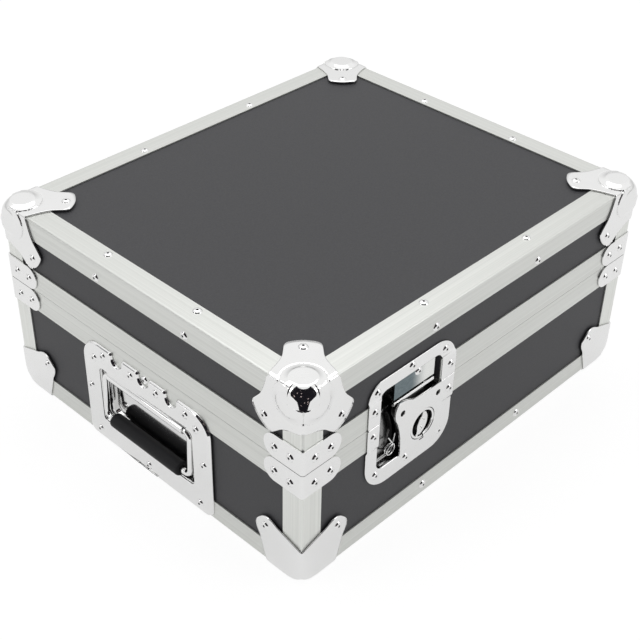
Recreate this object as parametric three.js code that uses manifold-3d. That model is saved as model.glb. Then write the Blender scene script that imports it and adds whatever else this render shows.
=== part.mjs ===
// A flight case: laminated plywood panels in double-angle aluminium edging, split by a
// tongue-and-groove valance into a base and a lift-off lid. Ball corners guard the lid, flat
// corners the base, and the case closes with two recessed butterfly latches.
// Millimetres, +Z up. The latch face looks along -Y and the carrying handle along -X.

import * as THREE from 'three';
import { mergeVertices } from 'three/addons/utils/BufferGeometryUtils.js';
import { RoundedBoxGeometry } from 'three/addons/geometries/RoundedBoxGeometry.js';
import Module from 'manifold-3d';

const wasm = await Module();
wasm.setup();

// Case: outside of the aluminium edging
const caseWidth = 450;
const caseDepth = 387;
const baseHeight = 125;
const lidHeight = 80;

// Fits
const fitGap = 0.3;
const overrun = 2;

// Panels and edging
const panelThickness = 9;
const flangeReach = 22;
const flangeWall = 1.2;
const lipSetback = 2;
const edgeRadius = 2;

// Valance, the tongue-and-groove edging at the split
const valanceReach = 23.5;
const valanceLipSetback = 5.5;
const tongueDepthIn = 4.4;
const tongueThickness = 2.2;
const tongueReach = 3.6;
const grooveSideGap = 0.5;
const grooveEndGap = 0.8;

// Foam lining
const foamThickness = 10;
const foamRimDrop = 1;

// Pressed sheet steel of corners, braces and dishes
const sheet = 1.2;

// Corner braces over the valance
const braceReach = 42;
const braceHeight = 24.4;

// Ball corners on the lid. The leg's outline runs from the fold to the tip on the diagonal:
// skirt, waist, neck, shoulder, tip corner, tip side and tip, as shares of the leg's reach.
const ballRadius = 20.5;
const ballShell = 1;
const ballInset = 13.4;
const ballSeatGap = 1.4;
const ballFacetRise = 4;
const ballCollarRadius = 18.6;
const ballCollarStep = 0.6;
const ballCollarInner = 11.6;
const ballBraceGap = 0.6;
const ballLegShares = [
  [0.704, 0], [0.768, 0.311], [0.859, 0.439], [0.996, 0.576], [1.042, 0.649], [0.96, 0.722], [0.881, 0.881],
];

// Flat corners under the base, with the same points along the leg
const footReach = 53;
const footLegShares = [
  [0.745, 0], [0.849, 0.321], [0.906, 0.509], [0.981, 0.642], [1.019, 0.736], [0.953, 0.783], [0.896, 0.896],
];
const footDomeInset = 20;
const footDomeRadius = 31;

// Latch dish, pressed in two halves that part at the split
const latchInset = 129.5;
const latchSplit = 15;
const latchWidth = 110;
const latchHeight = 116.5;
const latchCorner = 21;
const latchOpening = { left: -40.5, right: 35, bottom: -40, top: 45 };
const latchOpeningCorner = 7;
const latchFloorGap = 0.4;
const latchPanDraft = 0.8;
const joggleLength = 1.5;

// Cover plate of the latch mechanism. Its free edge runs up from the bottom of the dish: two
// straight points, then pairs of a control and an end point, in shares of the dish's width
// across from its centre and down from the split.
const coverLap = 1;
const coverThickness = 1.7;
const coverWaistShares = [[-0.108, -0.48], [-0.12, -0.308]];
const coverEdgeShares = [
  [[-0.13, -0.235], [-0.164, -0.136]],
  [[-0.192, -0.095], [-0.194, -0.055]],
  [[-0.194, 0.058], [-0.136, 0.06]],
  [[-0.08, 0.062], [0.004, 0.014]],
  [[0.04, -0.0014], [0.145, -0.0014]],
];
const coverHoleRadius = 2.6;
const coverHoleShares = [[-0.108, -0.06], [0.316, -0.095]];

// Turn knob and its folding wing, shares of the dish's depth and of the knob's radius
const knobAcross = 16;
const knobRadius = 15.4;
const knobBottomGap = 5.1;
const knobRim = 2.4;
const knobPocketShare = 0.522;
const knobFloor = 1.5;
const knobSink = 0.2;
const knobClearance = 0.5;
const shaftRadius = 4;
const bushWall = 2.2;
const bushHeight = 3;
const wingLengthShare = 0.779;
const wingHalfWidth = 6;
const wingThickness = 1.6;
const wingHingeOffset = 3;
const wingPinRadius = 1.2;
const wingPinInsert = 1.5;
const wingLeanDegrees = 16.5;

// Hook of the mechanism and the keeper that it catches; shares are of the dish's depth
const keeperLeft = -21.5;
const keeperRightGap = 5.5;
const keeperDepthShare = 0.152;
const keeperFlangeShare = 0.391;
const keeperRise = 4;
const hookLeft = -8.5;
const hookRight = 23.5;
const hookKnobGap = 3.1;
const hookThickness = 1.2;
const hookLipShare = 0.206;
const hookLipHeight = 1.5;
const hookBarrelShare = 0.196;
const hookPinRadius = 1.2;
const hookEar = 1.5;
const hookSwingDegrees = 5.5;

// Torsion spring on its post, beside the cover plate
const springAcross = -19;
const springBottomGap = 1.8;
const springRadius = 6.4;
const springWire = 0.8;
const springPitch = 2.3;
const springTurns = 2.25;
const springPost = 2.6;
const springFoot = 0.5;

// Handle dish; drops are measured down from the split
const handleHalfWidth = 86.5;
const handleBottom = 1;
const handleTopDrop = 10.8;
const handleTopCorner = 22;
const handleBottomCorner = 9;
const handleBezelRise = 2.8;
const handleBevel = 1.6;
const handleOpeningHalf = 63.5;
const handleOpeningBottom = 27;
const handleOpeningDrop = 36.5;
const handleOpeningCorner = 5;
const handlePanDepth = 7;
const handlePanDraft = 3;
const notchPitch = 37;
const notchWidth = 13;
const notchDrop = 22.5;

// Bail handle
const pivotInset = 5.3;
const pivotDepth = 0.2;
const barrelInset = 12.5;
const bailRadius = 3;
const bailSideGap = 5.3;
const bailInsert = 19;
const bailBend = 7;
const gripBottomGap = 1.3;
const gripDepth = -2;
const gripRadius = 7.2;
const gripEndInset = 11.7;
const gripEndRound = 2;

// Facet counts
const arcSteps = 3;
const ballSides = 18;
const ballRings = 10;
const domeSides = 28;
const domeRings = 16;
const hiddenSides = 12;
const hiddenRings = 8;
const collarSides = 18;
const tubeSides = 8;
const coilSteps = 14;

// Worked out from the sizes above
const caseHeight = baseHeight + lidHeight;
const lipReach = flangeReach - lipSetback;
const valanceLipReach = valanceReach - valanceLipSetback;
const panelFace = flangeWall + fitGap;
const panelBack = panelFace + panelThickness;
const lipFace = panelBack + fitGap;
const lipBack = lipFace + flangeWall;
const panelInset = lipBack + fitGap;
const sheetBack = -fitGap;
const sheetFace = sheetBack - sheet;
const groundClearance = -sheetFace;
const splitHalfGap = fitGap / 2;
const grooveNear = tongueDepthIn - grooveSideGap;
const grooveFar = tongueDepthIn + tongueThickness + grooveSideGap;
const grooveDepth = tongueReach + grooveEndGap;
const lidWallBottom = baseHeight + splitHalfGap + flangeWall + fitGap;
const baseWallTop = baseHeight - grooveDepth - flangeWall - fitGap;
const gripReach = gripRadius - gripDepth;
const ballReach = lidHeight - fitGap - braceHeight - ballBraceGap;
const latchRise = baseHeight - latchSplit;
const latchCentre = latchInset - caseWidth / 2;
const latchPanDepth = lipFace - latchFloorGap - sheet;
const knobPocketDepth = knobPocketShare * latchPanDepth;
const knobCentre = { u: knobAcross, v: latchOpening.bottom + knobBottomGap + knobRadius };
const wingHalfLength = wingLengthShare * knobRadius;
const keeperRight = latchOpening.right - keeperRightGap;
const keeperDepth = keeperDepthShare * latchPanDepth;
const keeperFlange = keeperFlangeShare * latchPanDepth;
const hookLip = hookLipShare * latchPanDepth;
const hookBarrelRadius = hookBarrelShare * latchPanDepth;
const hookPivot = {
  depth: keeperDepth + keeperFlange + fitGap + hookThickness / 2,
  v: knobCentre.v + knobRadius + hookKnobGap,
};
const springCentre = {
  u: springAcross,
  v: latchOpening.bottom + springBottomGap + springWire + springRadius,
};
const handleTop = baseHeight - handleTopDrop;
const handleOpeningTop = baseHeight - handleOpeningDrop;
const notchBottom = baseHeight - notchDrop;
const pivotHeight = handleOpeningTop - pivotInset;
const barrelHalfLength = handleOpeningHalf - barrelInset;
const bailHalfSpan = handleOpeningHalf - bailSideGap;
const gripHeight = handleOpeningBottom + gripBottomGap + gripRadius;
const gripHalfLength = bailHalfSpan - gripEndInset;
const upwards = new THREE.Vector3(0, 0, 1);
const sameSpot = overrun / 1e6;
const quarterTurn = Math.PI / 2;

const finishes = {
  laminate: { color: 0x49494d, roughness: 0.55, metalness: 0 },
  aluminium: { color: 0xc6c8c4, roughness: 0.42, metalness: 0.9 },
  chrome: { color: 0xd9dbdd, roughness: 0.14, metalness: 1 },
  rubber: { color: 0x1b1b1d, roughness: 0.8, metalness: 0 },
  foam: { color: 0x2b2b2d, roughness: 0.95, metalness: 0 },
};

// Turns a closed geometry into a solid that can be joined and cut
function solidOf(geometry) {
  geometry.deleteAttribute('normal');
  geometry.deleteAttribute('uv');
  const merged = mergeVertices(geometry);
  return new wasm.Manifold(new wasm.Mesh({
    numProp: 3,
    vertProperties: Float32Array.from(merged.attributes.position.array),
    triVerts: Uint32Array.from(merged.index.array),
  }));
}

// Turns a solid back into a geometry
function geometryOf(solid) {
  const mesh = solid.getMesh();
  const geometry = new THREE.BufferGeometry();
  geometry.setAttribute('position', new THREE.BufferAttribute(Float32Array.from(mesh.vertProperties), 3));
  geometry.setIndex(Array.from(mesh.triVerts));
  return geometry;
}

function joined(...solids) {
  return solids.reduce((sum, next) => sum.add(next));
}

function cut(solid, ...tools) {
  return tools.reduce((rest, tool) => rest.subtract(tool), solid);
}

// A geometry moved by a matrix, as a solid
function moved(geometry, matrix) {
  return solidOf(geometry.clone().applyMatrix4(matrix));
}

function shifted(geometry, x, y, z) {
  return moved(geometry, new THREE.Matrix4().makeTranslation(x, y, z));
}

// A box between two opposite corners
function block(low, high) {
  const size = high.map((value, axis) => value - low[axis]);
  const middle = high.map((value, axis) => (value + low[axis]) / 2);
  return shifted(new THREE.BoxGeometry(...size), ...middle);
}

// A rounded rectangle; radii run from bottom left, anticlockwise
function roundedOutline(left, right, bottom, top, radii) {
  const [a, b, c, d] = radii;
  const shape = new THREE.Shape();
  shape.moveTo(left + a, bottom);
  shape.lineTo(right - b, bottom);
  shape.absarc(right - b, bottom + b, b, -quarterTurn, 0, false);
  shape.lineTo(right, top - c);
  shape.absarc(right - c, top - c, c, 0, quarterTurn, false);
  shape.lineTo(left + d, top);
  shape.absarc(left + d, top - d, d, quarterTurn, 2 * quarterTurn, false);
  shape.lineTo(left, bottom + a);
  shape.absarc(left + a, bottom + a, a, 2 * quarterTurn, 3 * quarterTurn, false);
  return shape;
}

// The points of a closed outline, anticlockwise, with no point given twice
function ringPoints(shape) {
  const points = shape.getPoints(arcSteps);
  if (THREE.ShapeUtils.isClockWise(points)) points.reverse();
  return points.filter((point, i) => point.distanceTo(points[(i + 1) % points.length]) > sameSpot);
}

// Where an outline's u, depth and v go on each face of a corner
const faceAxes = {
  front: { order: [0, 1, 2], turns: false },
  side: { order: [1, 0, 2], turns: true },
  under: { order: [0, 2, 1], turns: true },
};

// A closed form through outlines of equal point count, each at its own depth into a face
function drawn(levels, face = 'front') {
  const { order, turns } = faceAxes[face];
  const rings = levels.map(([shape]) => ringPoints(shape));
  const count = rings[0].length;
  const position = [];
  rings.forEach((ring, level) => {
    ring.forEach((point) => {
      const place = [point.x, levels[level][1], point.y];
      position.push(place[order[0]], place[order[1]], place[order[2]]);
    });
  });
  const faces = [];
  const add = (a, b, c) => faces.push(a, ...(turns ? [c, b] : [b, c]));
  for (let level = 0; level + 1 < rings.length; level += 1) {
    for (let i = 0; i < count; i += 1) {
      const next = (i + 1) % count;
      const near = level * count;
      const far = near + count;
      add(near + i, far + i, far + next);
      add(near + i, far + next, near + next);
    }
  }
  const last = (rings.length - 1) * count;
  THREE.ShapeUtils.triangulateShape(rings[0], []).forEach(([a, b, c]) => add(a, b, c));
  THREE.ShapeUtils.triangulateShape(rings.at(-1), []).forEach(([a, b, c]) => {
    add(last + a, last + c, last + b);
  });
  const geometry = new THREE.BufferGeometry();
  geometry.setAttribute('position', new THREE.Float32BufferAttribute(position, 3));
  geometry.setIndex(faces);
  return solidOf(geometry);
}

function slab(shape, near, far, face = 'front') {
  return drawn([[shape, near], [shape, far]], face);
}

// A round bar along one axis of the local frame, between two places on that axis
function bar(radius, from, to, axis, centre, sides = tubeSides) {
  const geometry = new THREE.CylinderGeometry(radius, radius, to - from, sides);
  geometry.rotateY(Math.PI / sides);
  if (axis === 'x') geometry.rotateZ(-quarterTurn);
  if (axis === 'z') geometry.rotateX(quarterTurn);
  const middle = (from + to) / 2;
  const place = { x: [middle, ...centre], y: [centre[0], middle, centre[1]], z: [...centre, middle] };
  return shifted(geometry, ...place[axis]);
}

// A closed ring of one profile round the case, mitred at its four corners.
// The profile's points hold the distance in from the case's face, and the height.
function frameRing(profile) {
  const position = [];
  const faces = [];
  const count = profile.length;
  const signs = [[-1, -1], [1, -1], [1, 1], [-1, 1]];
  signs.forEach(([signX, signY]) => {
    profile.forEach(([inset, height]) => {
      position.push(signX * (caseWidth / 2 - inset), signY * (caseDepth / 2 - inset), height);
    });
  });
  for (let corner = 0; corner < signs.length; corner += 1) {
    const here = corner * count;
    const there = ((corner + 1) % signs.length) * count;
    for (let i = 0; i < count; i += 1) {
      const next = (i + 1) % count;
      faces.push(here + i, here + next, there + i);
      faces.push(here + next, there + next, there + i);
    }
  }
  const geometry = new THREE.BufferGeometry();
  geometry.setAttribute('position', new THREE.Float32BufferAttribute(position, 3));
  geometry.setIndex(faces);
  return solidOf(geometry);
}

// The same geometry upside down, from the bottom of the case to its top
function upended(geometry) {
  const position = geometry.attributes.position;
  for (let i = 0; i < position.count; i += 1) position.setZ(i, caseHeight - position.getZ(i));
  const order = Array.from(geometry.index.array);
  const faces = [];
  for (let i = 0; i < order.length; i += 3) faces.push(order[i], order[i + 2], order[i + 1]);
  geometry.setIndex(faces);
  return geometry;
}

// Section of the double-angle edging: two outer flanges, a hollow corner and two inner lips,
// which leave a slot for a panel in each direction
function edgingSection() {
  const shape = new THREE.Shape();
  shape.moveTo(edgeRadius, 0);
  const corners = [
    [flangeReach, 0], [flangeReach, flangeWall], [lipBack, flangeWall], [lipBack, lipFace],
    [lipReach, lipFace], [lipReach, lipBack], [lipBack, lipBack], [lipBack, lipReach],
    [lipFace, lipReach], [lipFace, lipBack], [flangeWall, lipBack], [flangeWall, flangeReach],
    [0, flangeReach], [0, edgeRadius],
  ];
  corners.forEach(([a, b]) => shape.lineTo(a, b));
  shape.absarc(edgeRadius, edgeRadius, edgeRadius, 2 * quarterTurn, 3 * quarterTurn, false);
  const chamber = new THREE.Path();
  chamber.moveTo(flangeWall, flangeWall);
  chamber.lineTo(flangeWall, lipFace);
  chamber.lineTo(lipFace, lipFace);
  chamber.lineTo(lipFace, flangeWall);
  shape.holes.push(chamber);
  return shape;
}

// A frame of edging round the bottom of the case, with what is taken off at its corners
function edgingFrame(trims) {
  const section = edgingSection();
  const [outside, chamber] = [section, ...section.holes].map((outline) => {
    return frameRing(ringPoints(outline).map(({ x, y }) => [x, y]));
  });
  return geometryOf(cut(outside, chamber, ...trims));
}

function edgingBar(length) {
  const along = { depth: length, bevelEnabled: false, curveSegments: arcSteps };
  return new THREE.ExtrudeGeometry(edgingSection(), along);
}

// What is taken off the edging at a corner: its upright fold is rounded, and its very corner
// follows a sphere so that it seats in a corner piece's dome
function cornerTrim(inset, radius) {
  const sphere = new THREE.SphereGeometry(radius, hiddenSides, hiddenRings);
  const cell = block([-overrun, -overrun, -overrun], [inset, inset, inset]);
  const far = flangeReach + overrun;
  const fold = block([-overrun, -overrun, -overrun], [edgeRadius, edgeRadius, far]);
  const round = bar(edgeRadius, -2 * overrun, far + overrun, 'z', [edgeRadius, edgeRadius], 4 * arcSteps);
  return joined(cut(cell, shifted(sphere, inset, inset, inset)), cut(fold, round));
}

// One length of edging along the bottom of a face, mitred at both ends, in that face's frame
function edgeLength(length, trim) {
  const geometry = edgingBar(length);
  const position = geometry.attributes.position;
  for (let i = 0; i < position.count; i += 1) {
    const depth = position.getX(i);
    const height = position.getY(i);
    const end = position.getZ(i) > length / 2 ? 1 : -1;
    position.setXYZ(i, end * (length / 2 - depth - fitGap / 2), depth, height);
  }
  const nearEnd = moved(trim, new THREE.Matrix4().makeTranslation(-length / 2, 0, 0));
  const farTurn = new THREE.Matrix4().makeRotationZ(quarterTurn).setPosition(length / 2, 0, 0);
  return geometryOf(cut(solidOf(geometry), nearEnd, moved(trim, farTurn)));
}

// A short upright length of edging on a corner, in the corner's frame
function cornerPost(bottom, top) {
  const geometry = edgingBar(top - bottom);
  geometry.translate(0, 0, bottom);
  return geometryOf(solidOf(geometry));
}

// Outline of a corner's leg on one face: half of it given by its points, the other half mirrored
// about the face's diagonal, and run on past the folds
function cornerOutline(reach, shares) {
  const placed = shares.map(([u, v]) => [u * reach, v * reach]);
  const [skirt, waist, neck, shoulder, tipCorner, tipSide, tip] = placed;
  const half = new THREE.Path();
  half.moveTo(...skirt);
  half.quadraticCurveTo(...waist, ...neck);
  half.lineTo(...shoulder);
  half.quadraticCurveTo(...tipCorner, ...tipSide);
  half.lineTo(...tip);
  const points = half.getPoints(arcSteps);
  const mirrored = points.slice(0, -1).map((point) => new THREE.Vector2(point.y, point.x)).reverse();
  const past = -4 * overrun;
  const folds = [[past, skirt[0]], [past, past], [skirt[0], past]].map(([u, v]) => new THREE.Vector2(u, v));
  return new THREE.Shape([...points, ...mirrored, ...folds]);
}

// A rounded block that fills the case side of a corner, from a given distance outside its faces
function cornerBlock(reach, radius, size) {
  const box = new RoundedBoxGeometry(size, size, size, 2, radius);
  const middle = size / 2 - reach;
  return shifted(box, middle, middle, middle);
}

// Three pressed legs folded round a corner
function cornerLegs(outline, size) {
  const deep = overrun * 2;
  const prisms = Object.keys(faceAxes).map((face) => slab(outline, -deep, edgeRadius + deep, face));
  return cornerBlock(-sheetFace, edgeRadius - sheetFace, size).intersect(joined(...prisms));
}

// Solid of revolution about the line that stands on the middle of a ball corner's face
function collar(turns) {
  const profile = [
    [0, 0], [ballCollarRadius, 0], [ballCollarRadius, -sheetFace],
    [ballCollarRadius - ballCollarStep, ballCollarStep - sheetFace],
  ];
  const start = profile.at(-1);
  const fall = ballFacetRise - start[1];
  for (let i = 1; i <= 3; i += 1) {
    const share = i / 3;
    profile.push([start[0] + (ballCollarInner - start[0]) * share, start[1] + fall * share * share]);
  }
  profile.push([0, ballFacetRise]);
  const points = profile.map(([radius, height]) => new THREE.Vector2(radius, height));
  const lathe = new THREE.LatheGeometry(points, collarSides);
  lathe.rotateX(-quarterTurn);
  lathe.translate(ballInset, ballInset, 0);
  const size = ballInset + ballCollarRadius + overrun;
  const seat = block([sheetFace, sheetFace, -ballFacetRise - overrun], [size, size, overrun]);
  const piece = geometryOf(solidOf(lathe).intersect(seat));
  const cycle = new THREE.Matrix4().set(0, 0, 1, 0, 1, 0, 0, 0, 0, 1, 0, 0, 0, 0, 0, 1);
  for (let i = 0; i < turns; i += 1) piece.applyMatrix4(cycle);
  return solidOf(piece);
}

// Dome of a ball corner: a sphere with a flat facet towards each face
function dome(radius, rise, sides, rings) {
  const sphere = shifted(new THREE.SphereGeometry(radius, sides, rings), ballInset, ballInset, ballInset);
  const far = ballInset + ballRadius + overrun;
  return sphere.intersect(block([-rise, -rise, -rise], [far, far, far]));
}

function ballCorner() {
  const size = 3 * ballReach;
  const outline = cornerOutline(ballReach, ballLegShares);
  const ball = dome(ballRadius, ballFacetRise, ballSides, ballRings);
  const shell = joined(cornerLegs(outline, size), ball, collar(0), collar(1), collar(2));
  const inside = cornerBlock(-sheetBack, edgeRadius - sheetBack, size);
  const room = dome(ballRadius - ballShell, ballFacetRise - ballShell, hiddenSides, hiddenRings);
  return geometryOf(cut(shell, inside, room));
}

function footCorner() {
  const size = 3 * footReach;
  const outline = cornerOutline(footReach, footLegShares);
  const cell = block(Array(3).fill(-2 * overrun), Array(3).fill(footDomeInset));
  const ballAt = (radius) => {
    const sphere = new THREE.SphereGeometry(radius, domeSides, domeRings);
    return shifted(sphere, footDomeInset, footDomeInset, footDomeInset);
  };
  const legs = cut(cornerLegs(outline, size), cut(cell, ballAt(footDomeRadius)));
  const inside = cornerBlock(-sheetBack, edgeRadius - sheetBack, size);
  return geometryOf(cut(legs, cut(inside, cut(cell, ballAt(footDomeRadius - sheet)))));
}

// An L-shaped brace with round ends, folded round a corner over the valance
function cornerBrace(bottom) {
  const top = bottom + braceHeight;
  const roundEnd = braceHeight / 2;
  const section = new THREE.Shape();
  section.moveTo(0, sheetFace);
  section.lineTo(braceReach, sheetFace);
  section.lineTo(braceReach, sheetBack);
  section.lineTo(0, sheetBack);
  section.absarc(0, 0, fitGap, 3 * quarterTurn, 2 * quarterTurn, true);
  section.lineTo(sheetBack, braceReach);
  section.lineTo(sheetFace, braceReach);
  section.lineTo(sheetFace, 0);
  section.absarc(0, 0, -sheetFace, 2 * quarterTurn, 3 * quarterTurn, false);
  const along = { depth: braceHeight, bevelEnabled: false, curveSegments: arcSteps };
  const fold = new THREE.ExtrudeGeometry(section, along);
  const small = edgeRadius / 2;
  const outline = roundedOutline(-overrun, braceReach, bottom, top, [small, roundEnd, roundEnd, small]);
  const legs = joined(slab(outline, -overrun, overrun), slab(outline, -overrun, overrun, 'side'));
  return geometryOf(shifted(fold, 0, 0, bottom).intersect(legs));
}

// Valance of the lid: outer plate, web, inner lip and the tongue that hangs into the groove
function lidValance() {
  const foot = baseHeight + splitHalfGap;
  const profile = [
    [0, foot], [tongueDepthIn, foot], [tongueDepthIn, baseHeight - tongueReach],
    [tongueDepthIn + tongueThickness, baseHeight - tongueReach], [tongueDepthIn + tongueThickness, foot],
    [lipBack, foot], [lipBack, baseHeight + valanceLipReach], [lipFace, baseHeight + valanceLipReach],
    [lipFace, foot + flangeWall], [flangeWall, foot + flangeWall], [flangeWall, baseHeight + valanceReach],
    [0, baseHeight + valanceReach],
  ];
  return frameRing(profile);
}

// Valance of the base: outer plate, groove channel and inner lip
function baseValance() {
  const top = baseHeight - splitHalfGap;
  const under = top - flangeWall;
  const channel = baseHeight - grooveDepth;
  const profile = [
    [0, baseHeight - valanceReach], [flangeWall, baseHeight - valanceReach], [flangeWall, under],
    [grooveNear - flangeWall, under], [grooveNear - flangeWall, channel - flangeWall],
    [grooveFar + flangeWall, channel - flangeWall], [grooveFar + flangeWall, under], [lipFace, under],
    [lipFace, baseHeight - valanceLipReach], [lipBack, baseHeight - valanceLipReach], [lipBack, top],
    [grooveFar, top], [grooveFar, channel], [grooveNear, channel], [grooveNear, top], [0, top],
  ];
  return frameRing(profile);
}

// One wall panel in its face's frame, with cut-outs for the dishes
function wallPanel(width, bottom, top, cuts) {
  const half = width / 2 - panelInset;
  return geometryOf(cut(block([-half, panelFace, bottom], [half, panelBack, top]), ...cuts));
}

// Top or bottom panel, lying in the horizontal slots
function flatPanel(bottom) {
  const halfWidth = caseWidth / 2 - panelInset;
  const halfDepth = caseDepth / 2 - panelInset;
  return geometryOf(block([-halfWidth, -halfDepth, bottom], [halfWidth, halfDepth, bottom + panelThickness]));
}

// Foam lining: a tray of foam whose floor lies against the top or bottom panel
function foamTray(floor, rim) {
  const halfWidth = caseWidth / 2 - panelInset;
  const halfDepth = caseDepth / 2 - panelInset;
  const inward = Math.sign(rim - floor);
  const low = Math.min(floor, rim);
  const high = Math.max(floor, rim);
  const hollowEnds = [floor + inward * foamThickness, rim + inward * overrun].sort((a, b) => a - b);
  const tray = block([-halfWidth, -halfDepth, low], [halfWidth, halfDepth, high]);
  const hollow = block(
    [foamThickness - halfWidth, foamThickness - halfDepth, hollowEnds[0]],
    [halfWidth - foamThickness, halfDepth - foamThickness, hollowEnds[1]],
  );
  return geometryOf(cut(tray, hollow));
}

// Latch dish before it is parted at the split, in a frame at the dish's centre
function latchOpeningShape(grow) {
  const corner = latchOpeningCorner + grow;
  const { left, right, bottom, top } = latchOpening;
  return roundedOutline(left - grow, right + grow, bottom - grow, top + grow, Array(4).fill(corner));
}

function latchPressing() {
  const halfWidth = latchWidth / 2;
  const halfHeight = latchHeight / 2;
  const outline = roundedOutline(-halfWidth, halfWidth, -halfHeight, halfHeight, Array(4).fill(latchCorner));
  const wide = halfWidth + overrun;
  const tall = halfHeight + overrun;
  const bezelBack = panelFace - fitGap;
  const bezelFace = bezelBack - sheet;
  const bandLow = latchSplit - valanceReach - fitGap;
  const bandHigh = latchSplit + valanceReach + fitGap;
  const bezel = cut(
    slab(outline, sheetFace, bezelBack),
    block([-wide, sheetFace - overrun, -tall], [wide, bezelFace, bandLow - joggleLength]),
    block([-wide, sheetFace - overrun, bandHigh + joggleLength], [wide, bezelFace, tall]),
    block([-wide, sheetBack, bandLow], [wide, bezelBack + overrun, bandHigh]),
  );
  const pan = drawn([
    [latchOpeningShape(sheet), sheetBack - sheet / 2],
    [latchOpeningShape(sheet - latchPanDraft), latchPanDepth + sheet],
  ]);
  const hollow = drawn([
    [latchOpeningShape(0), sheetFace - overrun],
    [latchOpeningShape(-latchPanDraft), latchPanDepth],
  ]);
  return cut(joined(bezel, pan), hollow);
}

// Cover plate over the mechanism: a free lobed edge to the recess, lapped on the bezel elsewhere
function coverPlate() {
  const placed = ([across, down]) => [across * latchWidth, latchSplit + down * latchWidth];
  const right = latchOpening.right + coverLap;
  const bottom = latchOpening.bottom - coverLap;
  const shape = new THREE.Shape();
  shape.moveTo(placed(coverWaistShares[0])[0], bottom);
  coverWaistShares.forEach((point) => shape.lineTo(...placed(point)));
  coverEdgeShares.forEach(([bend, end]) => shape.quadraticCurveTo(...placed(bend), ...placed(end)));
  shape.lineTo(right, latchSplit - splitHalfGap);
  shape.lineTo(right, bottom);
  const plate = slab(shape, sheetFace, sheetFace + coverThickness);
  const deep = sheetFace + coverThickness + overrun;
  const holes = coverHoleShares.map((place) => {
    return bar(coverHoleRadius, sheetFace - overrun, deep, 'y', placed(place));
  });
  const knobHole = bar(
    knobRadius + knobClearance, sheetFace - overrun, deep, 'y', [knobCentre.u, knobCentre.v], collarSides,
  );
  return cut(plate, knobHole, ...holes);
}

// Torsion spring: one wire wound about its post, with its last stretch let into the dish's floor
function latchSpring() {
  const start = latchPanDepth - springFoot - springPitch * springTurns;
  const count = Math.round(springTurns * coilSteps);
  const points = Array.from({ length: count + 1 }, (_, i) => {
    const share = i / count;
    const turn = share * springTurns * 2 * Math.PI;
    const depth = start + share * springTurns * springPitch;
    return new THREE.Vector3(
      springCentre.u + Math.cos(turn) * springRadius, depth, springCentre.v + Math.sin(turn) * springRadius,
    );
  });
  const gaps = points.flatMap((a, i) => points.slice(i + coilSteps / 2).map((b) => a.distanceTo(b)));
  console.log(`latch spring: least gap to itself ${(Math.min(...gaps) - 2 * springWire).toFixed(2)} mm`);
  return rod(points, springWire);
}

// Lower half of the latch dish, with the cover plate, the knob's bush, the hook's ears and the spring
function latchDish() {
  const wide = latchWidth;
  const below = block([-wide, -wide, -wide], [wide, wide, latchSplit - splitHalfGap]);
  const floor = latchPanDepth + sheet / 2;
  const knobAxis = [knobCentre.u, knobCentre.v];
  const bush = cut(
    bar(shaftRadius + fitGap + bushWall, latchPanDepth - bushHeight, floor, 'y', knobAxis, collarSides),
    bar(shaftRadius + fitGap, 0, latchPanDepth, 'y', knobAxis, collarSides),
  );
  const earLow = hookPivot.v - hookBarrelRadius - hookPinRadius;
  const earHigh = hookPivot.v + hookBarrelRadius + hookPinRadius;
  const earFace = hookPivot.depth - hookBarrelRadius - hookPinRadius;
  const earAt = (u) => block([u, earFace, earLow], [u + hookEar, floor, earHigh]);
  const ears = joined(earAt(hookLeft - fitGap - hookEar), earAt(hookRight + fitGap));
  const pinHole = bar(
    hookPinRadius + fitGap, hookLeft - hookEar - overrun, hookRight + hookEar + overrun,
    'x', [hookPivot.depth, hookPivot.v],
  );
  const postFace = latchPanDepth - springTurns * springPitch;
  const post = bar(springPost, postFace, floor, 'y', [springCentre.u, springCentre.v]);
  const lower = latchPressing().intersect(below);
  return geometryOf(joined(lower, coverPlate(), bush, cut(ears, pinHole), post, latchSpring()));
}

// Upper half of the latch dish, with the keeper folded across its recess
function keeperDish() {
  const wide = latchWidth;
  const above = block([-wide, -wide, latchSplit + splitHalfGap], [wide, wide, wide]);
  const keeperFoot = latchSplit + keeperRise;
  const keeperTop = latchOpening.top + sheet / 2;
  const plate = block([keeperLeft, keeperDepth, keeperFoot], [keeperRight, keeperDepth + sheet, keeperTop]);
  const flange = block(
    [keeperLeft, keeperDepth, keeperFoot],
    [keeperRight, keeperDepth + keeperFlange, keeperFoot + sheet],
  );
  return geometryOf(joined(latchPressing().intersect(above), plate, flange));
}

// Hook plate with its pivot barrel and inward lip, in the closed position about its pivot
function latchHook() {
  const back = hookThickness / 2;
  const lipFoot = latchSplit + keeperRise + sheet + fitGap - hookPivot.v;
  const top = lipFoot + hookLipHeight;
  const plate = block([hookLeft, -back, 0], [hookRight, back, top]);
  const lip = block([hookLeft, -back - hookLip, lipFoot], [hookRight, back, top]);
  const barrel = bar(hookBarrelRadius, hookLeft, hookRight, 'x', [0, 0]);
  const pin = bar(hookPinRadius, hookLeft - fitGap - hookEar, hookRight + fitGap + hookEar, 'x', [0, 0]);
  return geometryOf(joined(plate, lip, barrel, pin));
}

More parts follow.
